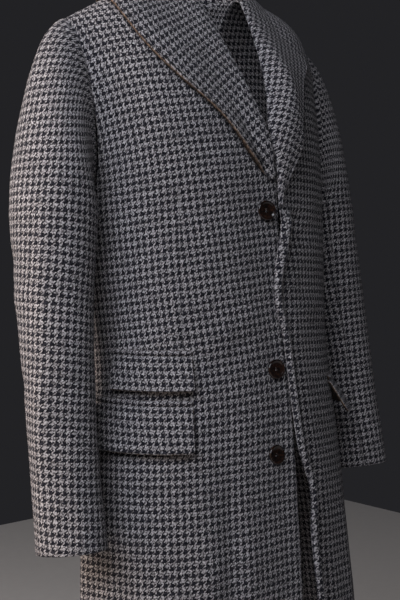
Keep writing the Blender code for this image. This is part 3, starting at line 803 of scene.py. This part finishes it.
def relaxed(points, grain, rounds):
    """The grain eased until its threads keep their lengths, as when the cloth is laid flat."""
    rows, columns = grain.shape[:2]
    links = []
    for down, over in ((0, 1), (1, 0), (1, 1), (1, -1)):
        near = (slice(0, rows - down), slice(max(0, -over), columns - max(0, over)))
        far = (slice(down, rows), slice(max(0, over), columns - max(0, -over)))
        links.append((near, far, np.linalg.norm(points[far] - points[near], axis=-1)))
    grain = grain.copy()
    for _ in range(rounds):
        move = np.zeros_like(grain)
        for near, far, length in links:
            gap = grain[far] - grain[near]
            now = np.linalg.norm(gap, axis=-1)
            pull = gap * ((now - length) / np.maximum(now, LEAST_LENGTH))[..., None]
            move[near] += pull
            move[far] -= pull
        grain += move * EASING_STEP
    return grain


def shell_faces(rows, columns, ring, flipped):
    """The faces of a shell's outside and inside, and of each strip of its rim."""
    count = rows * columns
    faces = [grid_faces(rows, columns, 0, flipped), grid_faces(rows, columns, count, not flipped)]
    edge_index = ring[:, 0] * columns + ring[:, 1]
    rings = [edge_index]
    rings += [count * 2 + step * len(ring) + np.arange(len(ring)) for step in range(RIM_STEPS - 1)]
    rings.append(edge_index + count)
    for start, end in zip(rings, rings[1:]):
        strip = np.stack((start, end, np.roll(end, -1), np.roll(start, -1)), axis=-1)
        faces.append(strip[:, ::-1] if flipped else strip)
    return faces


def shell(node, outer, normals, thickness, grain, outward, free_sides, material, painted_felt=None):
    """Makes and declares a closed cloth shell: the outside, the inside and a rounded rim all round.

    free_sides says for the left, right, bottom and top side whether it is a free edge (1) or a seam (0).
    The painted felt says point by point how far the underside is plain dark brown and the rim paler brown:
    the brown felt, painted in shade on the underside and the lower rim, and painted lit on the middle of the
    rim.
    """
    rows, columns = outer.shape[:2]
    free = side_values(rows, columns, free_sides)
    round_off = np.where(free > 0, thickness / 2, SEAM_ROUND)
    away = edge_directions(outer)
    outer = outer - away * round_off[..., None]
    inner = outer - normals * thickness[..., None]
    ring = loop_of(rows, columns)
    at = (ring[:, 0], ring[:, 1])
    middle = (outer[at] + inner[at]) / 2
    half = (outer[at] - inner[at]) / 2
    bulge = away[at] * round_off[at][:, None]
    grain_away = edge_directions(grain)[at]
    half_girth = np.pi / 2 * (thickness[at] / 2)
    points = [outer.reshape(-1, 3), inner.reshape(-1, 3)]
    maps = [grain.reshape(-1, 2), grain.reshape(-1, 2)]
    painted_felt = np.zeros((rows, columns)) if painted_felt is None else painted_felt
    under = [np.zeros(rows * columns), painted_felt.ravel()]
    for step in range(1, RIM_STEPS):
        angle = np.pi * step / RIM_STEPS
        points.append(middle + half * math.cos(angle) + bulge * math.sin(angle))
        maps.append(grain[at] + grain_away * (half_girth * 2 * step / RIM_STEPS)[:, None])
        # The lower rim steps take the brown felt, painted lit and then painted in shade
        under.append(painted_felt[at] * limited((step - 1) / PAINTED_FELT_STEPS))
    faces = shell_faces(rows, columns, ring, outward < 0)
    parts = [np.concatenate(part) for part in (points, faces, maps, under)]
    declare_cloth(mesh_piece(node + "_cloth", *parts, material), node)


def linked(name, data):
    """A new object, put in the scene."""
    item = bpy.data.objects.new(name, data)
    bpy.context.scene.collection.objects.link(item)
    return item


def mesh_piece(name, points, faces, grain, under, material):
    mesh = bpy.data.meshes.new(name)
    mesh.from_pydata(points.tolist(), [], faces.tolist())
    mesh.polygons.foreach_set("use_smooth", np.ones(len(faces), bool))
    corners = np.empty(len(mesh.loops), np.int32)
    mesh.loops.foreach_get("vertex_index", corners)
    layer = mesh.uv_layers.new(name="grain")
    layer.uv.foreach_set("vector", grain[corners].astype(np.float32).ravel())
    # How far each point shows the brown felt: about a half is painted lit, a whole is painted shade
    below = mesh.attributes.new("under", "FLOAT", "POINT")
    below.data.foreach_set("value", under.astype(np.float32))
    mesh.materials.append(material)
    mesh.update()
    return linked(name, mesh)


def declare_cloth(piece, node):
    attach(piece, "root")
    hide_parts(node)


# Drape


def wave_heights(points, waves):
    x, y, z = np.moveaxis(points, -1, 0)
    return [np.sin(wave.x * x + wave.y * y + wave.z * z + wave.start) for wave in waves]


def unevenness(points):
    """The slight waviness of heavy worn cloth, from the place alone, so that seams stay shut."""
    slow = sum(wave_heights(points, SLOW_WAVES))
    quick = math.prod(wave_heights(points, QUICK_WAVES))
    return SLOW_DEPTH * slow + QUICK_DEPTH * quick


def crease_depth(points, creases):
    """How far creases move the cloth, uneven along the way and dying out at their ends."""
    depth = np.zeros(points.shape[:-1])
    for crease in creases:
        start = np.array(crease.start)
        along = np.array(crease.end) - start
        share = limited((points - start) @ along / (along @ along))
        away = np.linalg.norm(points - start - share[..., None] * along, axis=-1)
        fading = ease(share / CREASE_FADE) * ease((1 - share) / CREASE_FADE)
        uneven = 1 + CREASE_UNEVEN * np.sin(CREASE_WAVES * share + CREASE_PHASE * crease.width)
        depth += crease.depth * uneven * fading * bump(away / crease.width)
    return depth


def drape(points, creases):
    """How far worn cloth stands out from its smooth form."""
    return unevenness(points) + crease_depth(points, creases)


def hem_cloth(height):
    """The extra thickness of the turned-up hem."""
    return HEM_EXTRA * ease((HEM + HEM_TURN - height) / HEM_FADE)


def panel_normals(points, outward):
    """A panel's normals, turned at the shoulder seam to the ones that both panels share there."""
    normals = grid_normals(points, outward)
    seam = SHOULDER_POINT - NECK_POINT
    shared = np.zeros_like(points)
    shared[..., 0] = np.sign(points[..., 0]) * -seam[2]
    shared[..., 2] = seam[0]
    ups = np.linspace(0.0, 1.0, points.shape[0])[:, None, None]
    return unit(normals + (unit(shared) - normals) * ease((ups - SEAM_BLEND) / (1 - SEAM_BLEND)))


def inside_seams(across, up, width):
    """The shares across and up a panel, drawn in from its seams by half a gap."""
    side_gap = SEAM_GAP / 2 / width
    return side_gap + (1 - 2 * side_gap) * across, up * (1 - SEAM_GAP / 2 / PANEL_LENGTH)


def front_columns(side):
    """Where the columns of a front lie: close at the edge and, on the right, on either side of the dart."""
    columns = np.linspace(0.0, 1.0, FRONT_GRID[0] + 1) ** EDGE_CROWDING
    near_dart = DART_ACROSS + DART_COLUMNS
    kept = columns[np.min(np.abs(columns[:, None] - near_dart), axis=1) > DART_CLEAR]
    return np.sort(np.concatenate((kept, near_dart))) if side == RIGHT else columns


def front_grid(side):
    up = np.linspace(0.0, 1.0, FRONT_GRID[1] + 1)[:, None]
    return front_point(side, *inside_seams(front_columns(side)[None, :], up, FRONT_WIDTH))


def edge_roll(side, from_edge, height):
    """The front edge rolls outwards, fullest below the lapel, with a hollow behind the roll."""
    full = EDGE_FULLNESS + EDGE_EXTRA_FULLNESS * ease((height - EDGE_FULL_FROM) / EDGE_FULL_SPAN)
    crest = bump((from_edge - EDGE_CREST * full) / (EDGE_CREST * full))
    hollow = bump((from_edge - EDGE_HOLLOW * full) / (EDGE_HOLLOW_WIDTH * full))
    return EDGE_ROLL[side] * full * (crest - EDGE_HOLLOW_SHARE * hollow)


def dart_intake(height):
    """The width of cloth taken in by the dart, which widens from the chest down into the pocket."""
    return DART_INTAKE * ease((DART_TOP - height) / DART_WIDENS) * ease((height - DART_FOOT) / DART_CLOSES)


def front_cloth(side):
    """A front panel's outside, with its normals, thickness and grain."""
    points = front_grid(side)
    height = points[..., 2]
    middle = np.searchsorted(front_columns(side), GRAIN_COLUMN)
    grain = metric_map(points, side, int(FRONT_GRID[1] * GRAIN_ROW), middle)
    from_edge = np.abs(grain[..., 0] - grain[:, :1, 0])
    grain = relaxed(points, grain, FRONT_ROUNDS)
    below_break = 1 - ease((height - EDGE_ROLL_TOP[side]) / EDGE_ROLL_FADE)
    out = drape(points, BODY_CREASES)
    if side == RIGHT:
        intake = dart_intake(height)
        from_dart = front_columns(side) - DART_ACROSS
        out = out - DART_DEPTH * bump(from_dart / DART_WIDTH) * intake / DART_INTAKE
        grain[..., 0] += intake * (from_dart > 0) * (1 - ease(from_dart / DART_EASE))
    out = out + edge_roll(side, from_edge, height) * below_break
    points = points + panel_normals(points, side) * out[..., None]
    thickness = CLOTH + FRONT_EDGE_EXTRA * bump(from_edge / FRONT_EDGE_WIDTH) * below_break
    thickness = thickness + hem_cloth(points[..., 2])
    return points, panel_normals(points, side), thickness, grain


def make_fronts(material):
    for side, word in SIDES:
        points, normals, thickness, grain = front_cloth(side)
        high, low = FRONT_TURNS[side]
        turn = high + (low - high) * ease((TURN_FROM - points[..., 2]) / TURN_SPAN)
        shell(f"front_{word}", points, normals, thickness, turned(grain, turn), side, FRONT_FREE, material)


def neck_tuck(neckline, signed):
    """How far the back's neckline goes up inside the stand of the collar, where it is sewn to it."""
    share = np.abs(signed) / NECK_SHARE
    station = 1 - limited(share) * (1 - NECK_STATION)
    rise = unit(collar_point(LEFT, TUCK_STEP, station) - collar_point(LEFT, 0.0, station))
    rise[:, 0] *= np.sign(signed)
    inward = -unit(neckline * np.array((1.0, 1.0, 0.0)))
    fading = 1 - ease((share - TUCK_UNTIL) / TUCK_FADE)
    return (rise * NECK_TUCK + inward * NECK_TUCK_IN) * fading[:, None]


def make_back(material):
    columns, rows = BACK_GRID
    across, up = inside_seams(*grid_shares(BACK_GRID), BACK_WIDTH)
    points = back_point(across, up)
    points[-1] += neck_tuck(points[-1], 2 * across[0] - 1)
    grain = metric_map(points, BACK_OUTWARD, int(rows * GRAIN_ROW), columns // 2)
    normals = panel_normals(points, BACK_OUTWARD)
    points = points + normals * drape(points, BODY_CREASES)[..., None]
    normals = panel_normals(points, BACK_OUTWARD)
    thickness = CLOTH + hem_cloth(points[..., 2])
    shell("back", points, normals, thickness, grain, BACK_OUTWARD, BACK_FREE, material)


def make_sleeves(material):
    spans = {
        "upper": (UNDER_TO - 1 + TURN_MARGIN, UNDER_FROM - TURN_MARGIN, UPPER_GRID),
        "under": (UNDER_FROM + TURN_MARGIN, UNDER_TO - TURN_MARGIN, UNDER_GRID),
    }
    for side, word in SIDES:
        for part, (start, end, grid) in spans.items():
            turn, drop = grid_shares(grid, start, end)
            points = sleeve_point(side, turn, drop)
            grain = -metric_map(points, side, grid[1] // 2, grid[0] // 2)
            if part == "upper":
                grain = tilted(grain, np.interp(drop, TILT_DROPS, SLEEVE_TILTS[side]))
            points = points + grid_normals(points, side) * drape(points, SLEEVE_CREASES)[..., None]
            thickness = CLOTH + HEM_EXTRA * ease((drop - CUFF_FROM) / CUFF_FADE) + turn * 0
            shell(f"sleeve_{word}_{part}", points, grid_normals(points, side), thickness, grain, side,
                  SLEEVE_FREE, material)


def panel_tree(side):
    """A search tree over the front and back that a collar half lies on, with faces turned outwards."""
    across, up = grid_shares(TREE_GRID)
    columns, rows = across.size, up.size
    points = []
    faces = []
    for sheet, outward in ((front_point(side, across, up), side), (back_point(across, up), BACK_OUTWARD)):
        faces.append(grid_faces(rows, columns, len(points) * rows * columns, outward < 0))
        points.append(sheet.reshape(-1, 3))
    return BVHTree.FromPolygons(np.concatenate(points).tolist(), np.concatenate(faces).tolist())


def lifted_clear(points, clearance, tree):
    """The points, moved out of the panels below them as far as the clearance asks."""
    moved = points.copy()
    for index in np.ndindex(points.shape[:2]):
        if clearance[index] <= 0:
            continue
        place, normal, _, _ = tree.find_nearest(Vector(points[index]))
        short = clearance[index] - (Vector(points[index]) - place).dot(normal)
        if short > 0:
            moved[index] += np.array(normal) * short
    return moved


def collar_gap(side, across, station):
    """How far each point of the collar keeps off the panels below it, most where the lapel's edge springs."""
    gap = BREAK_CLEAR + (COLLAR_CLEAR - BREAK_CLEAR) * ease(station / BREAK_STATION)
    gap = gap + SHOULDER_CLEAR * bump((station - NECK_STATION) / SHOULDER_SPREAD)
    swell = 1 + bump((station - SPRING_STATION) / SPRING_SPREAD)
    springing = LAPEL_SPRINGS[side] * swell * ease(station / SPRING_START)
    gap = gap + springing * ease((across - SPRING_FROM) / SPRING_SPAN)
    return gap * ease((across - STAND_SHARE) / (CLEAR_SHARE * (1 - STAND_SHARE)))


def collar_thickness(across, station):
    """One layer in the stand and two in the fall, with a fuller rim along the edge."""
    doubled = ease((across - STAND_SHARE) / DOUBLE_SPAN)
    thickness = (STAND_CLOTH + (DOUBLE_CLOTH - STAND_CLOTH) * doubled) * break_share(station)
    swell = 1 + RIM_SWELL * bump((station - RIM_STATION) / RIM_SPREAD)
    rim = LAPEL_RIM * swell * ease(station / RIM_START)
    return thickness + rim * bump((1 - across) / RIM_WIDTH)


def make_collar(material):
    columns, rows = COLLAR_GRID
    across, station = grid_shares(COLLAR_GRID)
    thickness = collar_thickness(across, station)
    # The collar's underside shows the brown felt painted in shade, from just above the break
    painted_felt = ease((station - PAINTED_FELT_FROM) / PAINTED_FELT_SPAN) + across * 0
    for side, word in SIDES:
        points = collar_point(side, across, station)
        centre_back = points[-1, :, 0].copy()
        points = lifted_clear(points, collar_gap(side, across, station), panel_tree(side))
        points[-1, :, 0] = centre_back
        grain = relaxed(points, metric_map(points, side, rows // 2, columns), COLLAR_ROUNDS)
        normals = grid_normals(points, side)
        normals[..., 0] *= 1 - ease((station - LEVEL_FROM) / LEVEL_SPAN)
        shell(f"shawl_collar_{word}", points, unit(normals), thickness, grain, side, COLLAR_FREE, material,
              painted_felt)


# Flaps


def flap_rise(down, length, stand_off):
    """How far the outside stands off the front: the pocket's jet first, then the flap's fold and face."""
    jet = JET_SEAT + JET_RISE * np.sin(np.pi * limited((down + JET_HEIGHT) / JET_HEIGHT))
    face = DOUBLE_CLOTH + SEAM_GAP * 2 + stand_off * limited(down / length)
    return jet + (face - JET_SEAT) * np.sqrt(ease(down / FLAP_FOLD))


def flap_down(flap, across, step):
    """How far below the pocket each point of a flap lies, with its lower corners rounded off."""
    width = math.radians(flap.rear_degrees - flap.front_degrees) * BODY_RADIUS
    from_side = np.minimum(across, 1 - across) * width
    inside = np.clip(FLAP_CORNER - from_side, 0.0, FLAP_CORNER)
    cut = FLAP_CORNER - np.sqrt(FLAP_CORNER**2 - inside**2)
    return -JET_HEIGHT + (flap.top - flap.bottom + JET_HEIGHT - cut) * step


def make_flaps(material):
    across, step = spread(*grid_shares(FLAP_GRID))
    for flap in FLAPS:
        angle = np.radians(flap.front_degrees + (flap.rear_degrees - flap.front_degrees) * across)
        down = flap_down(flap, across, step)
        point, ahead, behind = (
            body_point(flap.side, angle + turn, flap.top - down) for turn in (0.0, ANGLE_STEP, -ANGLE_STEP)
        )
        tangent = ahead - behind
        outward = unit(np.stack((tangent[..., 1], -tangent[..., 0], np.zeros_like(down)), axis=-1))
        rise = flap_rise(down, flap.top - flap.bottom, flap.stand_off)
        normals = mirrored(outward, flap.side)
        points = mirrored(point + outward * rise[..., None], flap.side)
        points = points + normals * drape(points, BODY_CREASES)[..., None]
        thickness = np.minimum(rise - FLAP_SEAT, DOUBLE_CLOTH + FLAP_SWELL)
        grain = metric_map(points, flap.side, 0, 0) * np.array((1.0, -1.0))
        # The underside and rim of each flap show the brown felt, painted in shade under the flap
        shell(flap.name, points, normals, thickness, grain, -flap.side, FLAP_FREE, material,
              np.ones(rise.shape))


# Buttons


def button_outline():
    """Half a button's section from the middle of its back to the middle of its dished front, in metres."""
    shares = (
        (0.0, 0.0), (0.55, 0.0), (0.80, 0.0002), (0.93, 0.0009), (0.985, 0.0018), (1.0, 0.0027),
        (0.985, 0.0037), (0.95, 0.0043), (0.90, BUTTON_THICK), (0.85, 0.00445), (0.78, 0.0038),
        (0.70, 0.0033), (0.60, 0.0029), (0.40, 0.0025), (0.20, 0.00226), (0.0, DISH_FLOOR),
    )
    return [(BUTTON_RADIUS * share, height) for share, height in shares]


def button_place(button):
    """Where a button lies on the right front: along the panel's normal, tilted outwards on its thread."""
    share = (button.own_x / BODY.one(button.height, "half_width")) ** (1 / ROUNDNESS)
    angle = np.arcsin(share)
    point, higher, lower, beside = (
        body_point(RIGHT, np.array(angle + turn), np.array(button.height + lift))
        for turn, lift in ((0, 0), (0, PROBE_LIFT), (0, -PROBE_LIFT), (PROBE_TURN, 0))
    )
    upward = unit(higher - lower)
    outward = unit(np.cross(beside - point, upward))
    tilt = math.radians(button.tilt_degrees)
    point = point + outward * (BUTTON_SEAT + BUTTON_RADIUS * BUTTON_FOOT * math.sin(tilt))
    outward = outward * math.cos(tilt) + unit(beside - point) * math.sin(tilt)
    outward = unit(outward - upward * np.dot(outward, upward))
    sideways = np.cross(upward, outward)
    place = np.eye(4)
    place[:3, :3] = np.column_stack([mirrored(axis, RIGHT) for axis in (-sideways, upward, outward)])
    place[:3, 3] = mirrored(point, RIGHT)
    return Matrix(place.tolist())


def hole_places():
    turns = [math.radians(45 + 90 * turn) for turn in range(4)]
    return [(HOLE_OFFSET * math.cos(turn), HOLE_OFFSET * math.sin(turn)) for turn in turns]


def add_tube(mesh, path, radius, slot):
    """A closed round thread along a path, added to a bmesh."""
    rings = []
    for index, point in enumerate(path):
        ahead = path[min(index + 1, len(path) - 1)] - path[max(index - 1, 0)]
        frame = ahead.to_track_quat("Z", "Y").to_matrix()
        ring = []
        for side in range(THREAD_SIDES):
            angle = 2 * math.pi * side / THREAD_SIDES
            offset = frame @ Vector((math.cos(angle) * radius, math.sin(angle) * radius, 0.0))
            ring.append(mesh.verts.new(point + offset))
        rings.append(ring)
    made = [mesh.faces.new(rings[0][::-1]), mesh.faces.new(rings[-1])]
    for low, high in zip(rings, rings[1:]):
        for side in range(THREAD_SIDES):
            after = (side + 1) % THREAD_SIDES
            made.append(mesh.faces.new((low[side], low[after], high[after], high[side])))
    for face in made:
        face.material_index = slot


def add_threads(mesh):
    """Two crossed stitches of doubled thread, from hole to hole over the dish and down into the cloth."""
    holes = hole_places()
    for lift, (start, end) in enumerate(((holes[0], holes[2]), (holes[1], holes[3]))):
        across = Vector((end[1] - start[1], start[0] - end[0], 0.0)).normalized()
        top = DISH_FLOOR + THREAD_RADIUS * (STITCH_LIFT + STITCH_CROSSING * lift)
        for strand in (-1, 1):
            shift = across * THREAD_RADIUS * strand * THREAD_SPACING
            first = Vector((*start, 0.0)) + shift
            last = Vector((*end, 0.0)) + shift
            path = [first + Vector((0, 0, level)) for level in THREAD_ENDS]
            for step in range(ARCH_STEPS + 1):
                share = step / ARCH_STEPS
                arch = top * (1 - ARCH_DROP * abs(2 * share - 1) ** 4)
                path.append(first.lerp(last, share) + Vector((0, 0, arch)))
            path += [last + Vector((0, 0, level)) for level in THREAD_ENDS[::-1]]
            add_tube(mesh, path, THREAD_RADIUS * THREAD_SPACING, THREAD_SLOT)


def as_mesh(outline, name):
    """The mesh of a finished bmesh."""
    mesh = bpy.data.meshes.new(name)
    outline.to_mesh(mesh)
    outline.free()
    return mesh


def button_body():
    outline = bmesh.new()
    line = [outline.verts.new((radius, 0.0, height)) for radius, height in button_outline()]
    edges = [outline.edges.new(pair) for pair in zip(line, line[1:])]
    bmesh.ops.spin(outline, geom=line + edges, axis=(0, 0, 1), cent=(0, 0, 0), angle=2 * math.pi,
                   steps=BUTTON_SEGMENTS, use_merge=True)
    bmesh.ops.remove_doubles(outline, verts=outline.verts[:], dist=MERGE_DISTANCE)
    bmesh.ops.recalc_face_normals(outline, faces=outline.faces[:])
    return linked("button_body", as_mesh(outline, "button_body"))


def button_holes():
    holes = bmesh.new()
    for x, y in hole_places():
        bmesh.ops.create_cone(holes, cap_ends=True, segments=HOLE_SEGMENTS, radius1=HOLE_RADIUS,
                              radius2=HOLE_RADIUS, depth=HOLE_DEPTH,
                              matrix=Matrix.Translation((x, y, HOLE_MIDDLE)))
    return linked("button_holes", as_mesh(holes, "button_holes"))


def button_mesh(horn, thread):
    """A turned button with its four holes cut through, sewn on with crossed thread."""
    whole = button_body()
    cutter = button_holes()
    cut = whole.modifiers.new("holes", "BOOLEAN")
    cut.operation = "DIFFERENCE"
    cut.object = cutter
    cut.solver = "EXACT"
    shown = whole.evaluated_get(bpy.context.evaluated_depsgraph_get())
    made = bmesh.new()
    made.from_mesh(shown.to_mesh())
    shown.to_mesh_clear()
    for item in (whole, cutter):
        bpy.data.objects.remove(item, do_unlink=True)
    add_threads(made)
    mesh = as_mesh(made, "sewn_button")
    mesh.materials.clear()
    mesh.materials.append(horn)
    mesh.materials.append(thread)
    mesh.polygons.foreach_set("use_smooth", np.ones(len(mesh.polygons), bool))
    mesh.set_sharp_from_angle(angle=math.radians(SHARP_DEGREES))
    return mesh


def make_buttons(horn, thread):
    mesh = button_mesh(horn, thread)
    for button in BUTTONS:
        piece = linked(button.name + "_horn", mesh.copy())
        piece.data.transform(button_place(button))
        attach(piece, "root")
        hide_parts(button.name)


# Materials


class NodeKit:
    """Short calls that add nodes to one material and link them."""

    def __init__(self, name):
        self.material = bpy.data.materials.new(name)
        self.material.use_nodes = True
        self.tree = self.material.node_tree
        self.shader = self.tree.nodes["Principled BSDF"]

    def put(self, socket, value):
        if isinstance(value, bpy.types.NodeSocket):
            self.tree.links.new(value, socket)
        else:
            socket.default_value = value

    def node(self, kind, values=(), output=0, **settings):
        """One output of a new node; the values of its inputs are in order, or in a dict by place or name."""
        node = self.tree.nodes.new(kind)
        for name, value in settings.items():
            setattr(node, name, value)
        for key, value in values.items() if isinstance(values, dict) else enumerate(values):
            self.put(node.inputs[key], value)
        return node.outputs[output]

    def math(self, operation, *values):
        return self.node("ShaderNodeMath", values, operation=operation)

    def vector(self, operation, *values):
        return self.node("ShaderNodeVectorMath", values, operation=operation)

    def split(self, place):
        first = self.node("ShaderNodeSeparateXYZ", (place,))
        return first, first.node.outputs[1]

    def joined(self, x, y):
        return self.node("ShaderNodeCombineXYZ", (x, y))

    def scaled(self, colour, factor):
        return self.node("ShaderNodeVectorMath", {0: colour, "Scale": factor}, operation="SCALE")

    def mix(self, share, first, second):
        """Between two numbers."""
        return self.node("ShaderNodeMix", {0: share, 2: first, 3: second}, data_type="FLOAT")

    def blend(self, share, first, second):
        """Between two colours."""
        return self.node("ShaderNodeMix", {0: share, 6: first, 7: second}, 2, data_type="RGBA")

    def noise(self, place, scale, detail=2.0, output="Fac"):
        return self.node("ShaderNodeTexNoise", {"Vector": place, "Scale": scale, "Detail": detail}, output)

    def span(self, value, low, high, start=0.0, end=1.0):
        return self.node("ShaderNodeMapRange", (value, low, high, start, end))

    def first_half(self, value, cycle):
        """1 in the first half of every cycle and 0 in the second."""
        return self.math("LESS_THAN", self.math("FLOORED_MODULO", value, cycle), cycle / 2)

    def bump(self, height, strength, distance):
        return self.node("ShaderNodeBump", {"Height": height, "Strength": strength, "Distance": distance})

    def set(self, **values):
        """Gives the shader's own inputs a number, a colour or an output; words are joined by underscores."""
        inputs = {socket.name.lower().replace(" ", "_"): socket for socket in self.shader.inputs}
        for name, value in values.items():
            self.put(inputs[name], value)


def woven(kit, grain):
    """The thread on top at a place: whether it is dark, how near its crown the place is, and its tone."""
    woolly = grain
    for scale, detail, distance in WAVERING:
        shift = kit.vector("SUBTRACT", kit.noise(grain, scale, detail, "Color"), (0.5, 0.5, 0.5))
        woolly = kit.vector("ADD", woolly, kit.vector("MULTIPLY", shift, (distance, distance, 0.0)))
    threads = (THREADS / CHECK_WIDTH, THREADS / CHECK_HEIGHT, 0.0)
    warp, weft = kit.split(kit.vector("MULTIPLY", woolly, threads))
    warp_number = kit.math("FLOOR", warp)
    weft_number = kit.math("FLOOR", weft)
    warp_over = kit.first_half(kit.math("SUBTRACT", warp_number, weft_number), TWILL)
    dark = [kit.first_half(thread, THREADS) for thread in (weft, warp)]
    arcs = [kit.math("MULTIPLY", kit.math("FRACT", thread), math.pi) for thread in (weft, warp)]
    crown = [kit.math("SINE", arc) for arc in arcs]
    along_weft = kit.joined(warp, kit.math("MULTIPLY", weft_number, TONE_STEP))
    along_warp = kit.joined(kit.math("MULTIPLY", warp_number, TONE_STEP), weft)
    tone = [kit.noise(place, TONE_SCALE, 1.0) for place in (along_weft, along_warp)]
    return [kit.mix(warp_over, *pair) for pair in (dark, crown, tone)]


def tweed_material():
    """Houndstooth as it is woven: each thread is dark or pale, and the twill says which one is on top."""
    kit = NodeKit("houndstooth_tweed")
    grain = kit.node("ShaderNodeUVMap", output="UV", uv_map="grain")
    under = kit.node("ShaderNodeAttribute", output="Fac", attribute_name="under")
    dark, crown, tone = woven(kit, grain)
    scales = (FIBRE_SCALE, FLECK_SCALE, BURR_SCALE)
    fibre, fleck, burr = (kit.noise(grain, scale, CLOTH_DETAIL) for scale in scales)
    patch = kit.noise(grain, PATCH_SCALE)
    speckle = kit.span(fleck, *FLECK_SPAN)
    yarn = kit.blend(dark, kit.blend(speckle, *PALE_WOOL), kit.blend(speckle, *DARK_WOOL))
    # Painted shade: each thread darker towards its edges; then random tones of fibre, patch and thread
    painted_shade_and_tone = kit.span(crown, 0.0, 1.0, *CROWN_PAINTED_SHADE)
    for noise, shades in ((fibre, FIBRE_SHADES), (patch, PATCH_SHADES), (tone, TONE_SHADES)):
        painted_shade_and_tone = kit.math("MULTIPLY", painted_shade_and_tone, kit.span(noise, *NOISE_SPAN, *shades))
    # Brown felt where the attribute under says: painted lit up to a half, painted in shade towards a whole
    burred = kit.span(burr, *FLECK_SPAN)
    painted_felt = kit.blend(kit.span(under, 0.5, 1.0), kit.blend(burred, *LIT_FELT), kit.blend(burred, *SHADED_FELT))
    lit = kit.scaled(kit.blend(kit.span(under, 0.0, 0.5), yarn, painted_felt), painted_shade_and_tone)
    crown_height = kit.math("MULTIPLY", crown, CROWN_HEIGHT)
    height = kit.math("ADD", crown_height, kit.math("MULTIPLY", fibre, FIBRE_HEIGHT))
    kit.set(base_color=lit, roughness=kit.span(fibre, 0.2, 0.8, 0.84, 0.98))
    kit.set(normal=kit.bump(height, 0.6, 0.0008), specular_ior_level=0.10)
    kit.set(sheen_weight=0.05, sheen_roughness=0.5, sheen_tint=SHEEN_TINT)
    return kit.material


def horn_material():
    kit = NodeKit("dark_horn")
    place = kit.node("ShaderNodeTexCoord", output="Object")
    streak = kit.noise(kit.vector("MULTIPLY", place, (180.0, 420.0, 420.0)), 1.0, 4.0)
    cloud = kit.noise(place, 160.0, 2.0)
    streaked = kit.span(streak, 0.42, 0.68)
    brown = kit.blend(streaked, *HORN)
    worn = kit.blend(kit.span(cloud, 0.45, 0.75, 0.0, 0.6), brown, WORN_HORN)
    scratch = kit.noise(place, 2400.0, 2.0)
    kit.set(base_color=worn, roughness=kit.span(scratch, 0.3, 0.7, 0.10, 0.20), specular_ior_level=0.5)
    kit.set(normal=kit.bump(streak, 0.08, 0.0002), coat_weight=0.3, coat_roughness=0.10)
    return kit.material


def thread_material():
    kit = NodeKit("button_thread")
    place = kit.node("ShaderNodeTexCoord", output="Object")
    twist = kit.noise(kit.vector("MULTIPLY", place, (5200.0, 5200.0, 2600.0)), 1.0, 2.0)
    kit.set(base_color=kit.blend(twist, *BUTTON_THREAD))
    kit.set(roughness=kit.span(twist, *NOISE_SPAN, 0.55, 0.8), normal=kit.bump(twist, 0.4, 0.0002))
    return kit.material


def floor_material():
    kit = NodeKit("pale_floor")
    place = kit.node("ShaderNodeTexCoord", output="Object")
    speck = kit.noise(place, 40.0, 4.0)
    kit.set(base_color=kit.blend(speck, *PALE_FLOOR))
    kit.set(roughness=kit.span(speck, *NOISE_SPAN, 0.75, 0.9))
    return kit.material


# Stage


def make_floor():
    outline = bmesh.new()
    corners = ((-1, -1), (1, -1), (1, 1), (-1, 1))
    outline.faces.new([outline.verts.new((x * FLOOR_HALF, y * FLOOR_HALF, FLOOR_HEIGHT)) for x, y in corners])
    mesh = as_mesh(outline, "floor")
    mesh.materials.append(floor_material())
    floor = linked("floor", mesh)


def make_camera():
    data = bpy.data.cameras.new("camera")
    data.sensor_width = SENSOR_WIDTH
    data.lens = CAMERA_LENS
    camera = linked("camera", data)
    camera.location = CAMERA_PLACE
    camera.rotation_euler = [math.radians(turn) for turn in CAMERA_DEGREES]
    bpy.context.scene.camera = camera


def make_lights():
    for lamp in LIGHTS:
        data = bpy.data.lights.new(lamp.name, "AREA")
        data.shape = "RECTANGLE"
        data.size, data.size_y = lamp.size
        data.energy = lamp.power
        data.color = lamp.colour
        light = linked(lamp.name, data)
        light.location = lamp.place
        toward = Vector(STAGE_MIDDLE) - Vector(lamp.place)
        light.rotation_euler = toward.to_track_quat("-Z", "Y").to_euler()


def make_world():
    world = bpy.data.worlds.new("studio")
    world.use_nodes = True
    back = world.node_tree.nodes["Background"]
    back.inputs["Color"].default_value = WORLD_COLOUR
    back.inputs["Strength"].default_value = 1.0
    bpy.context.scene.world = world
    bpy.context.scene.view_settings.view_transform = "Standard"


def main():
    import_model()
    tweed = tweed_material()
    make_fronts(tweed)
    make_back(tweed)
    make_sleeves(tweed)
    make_collar(tweed)
    make_flaps(tweed)
    make_buttons(horn_material(), thread_material())
    make_floor()
    make_camera()
    make_lights()
    make_world()


main()
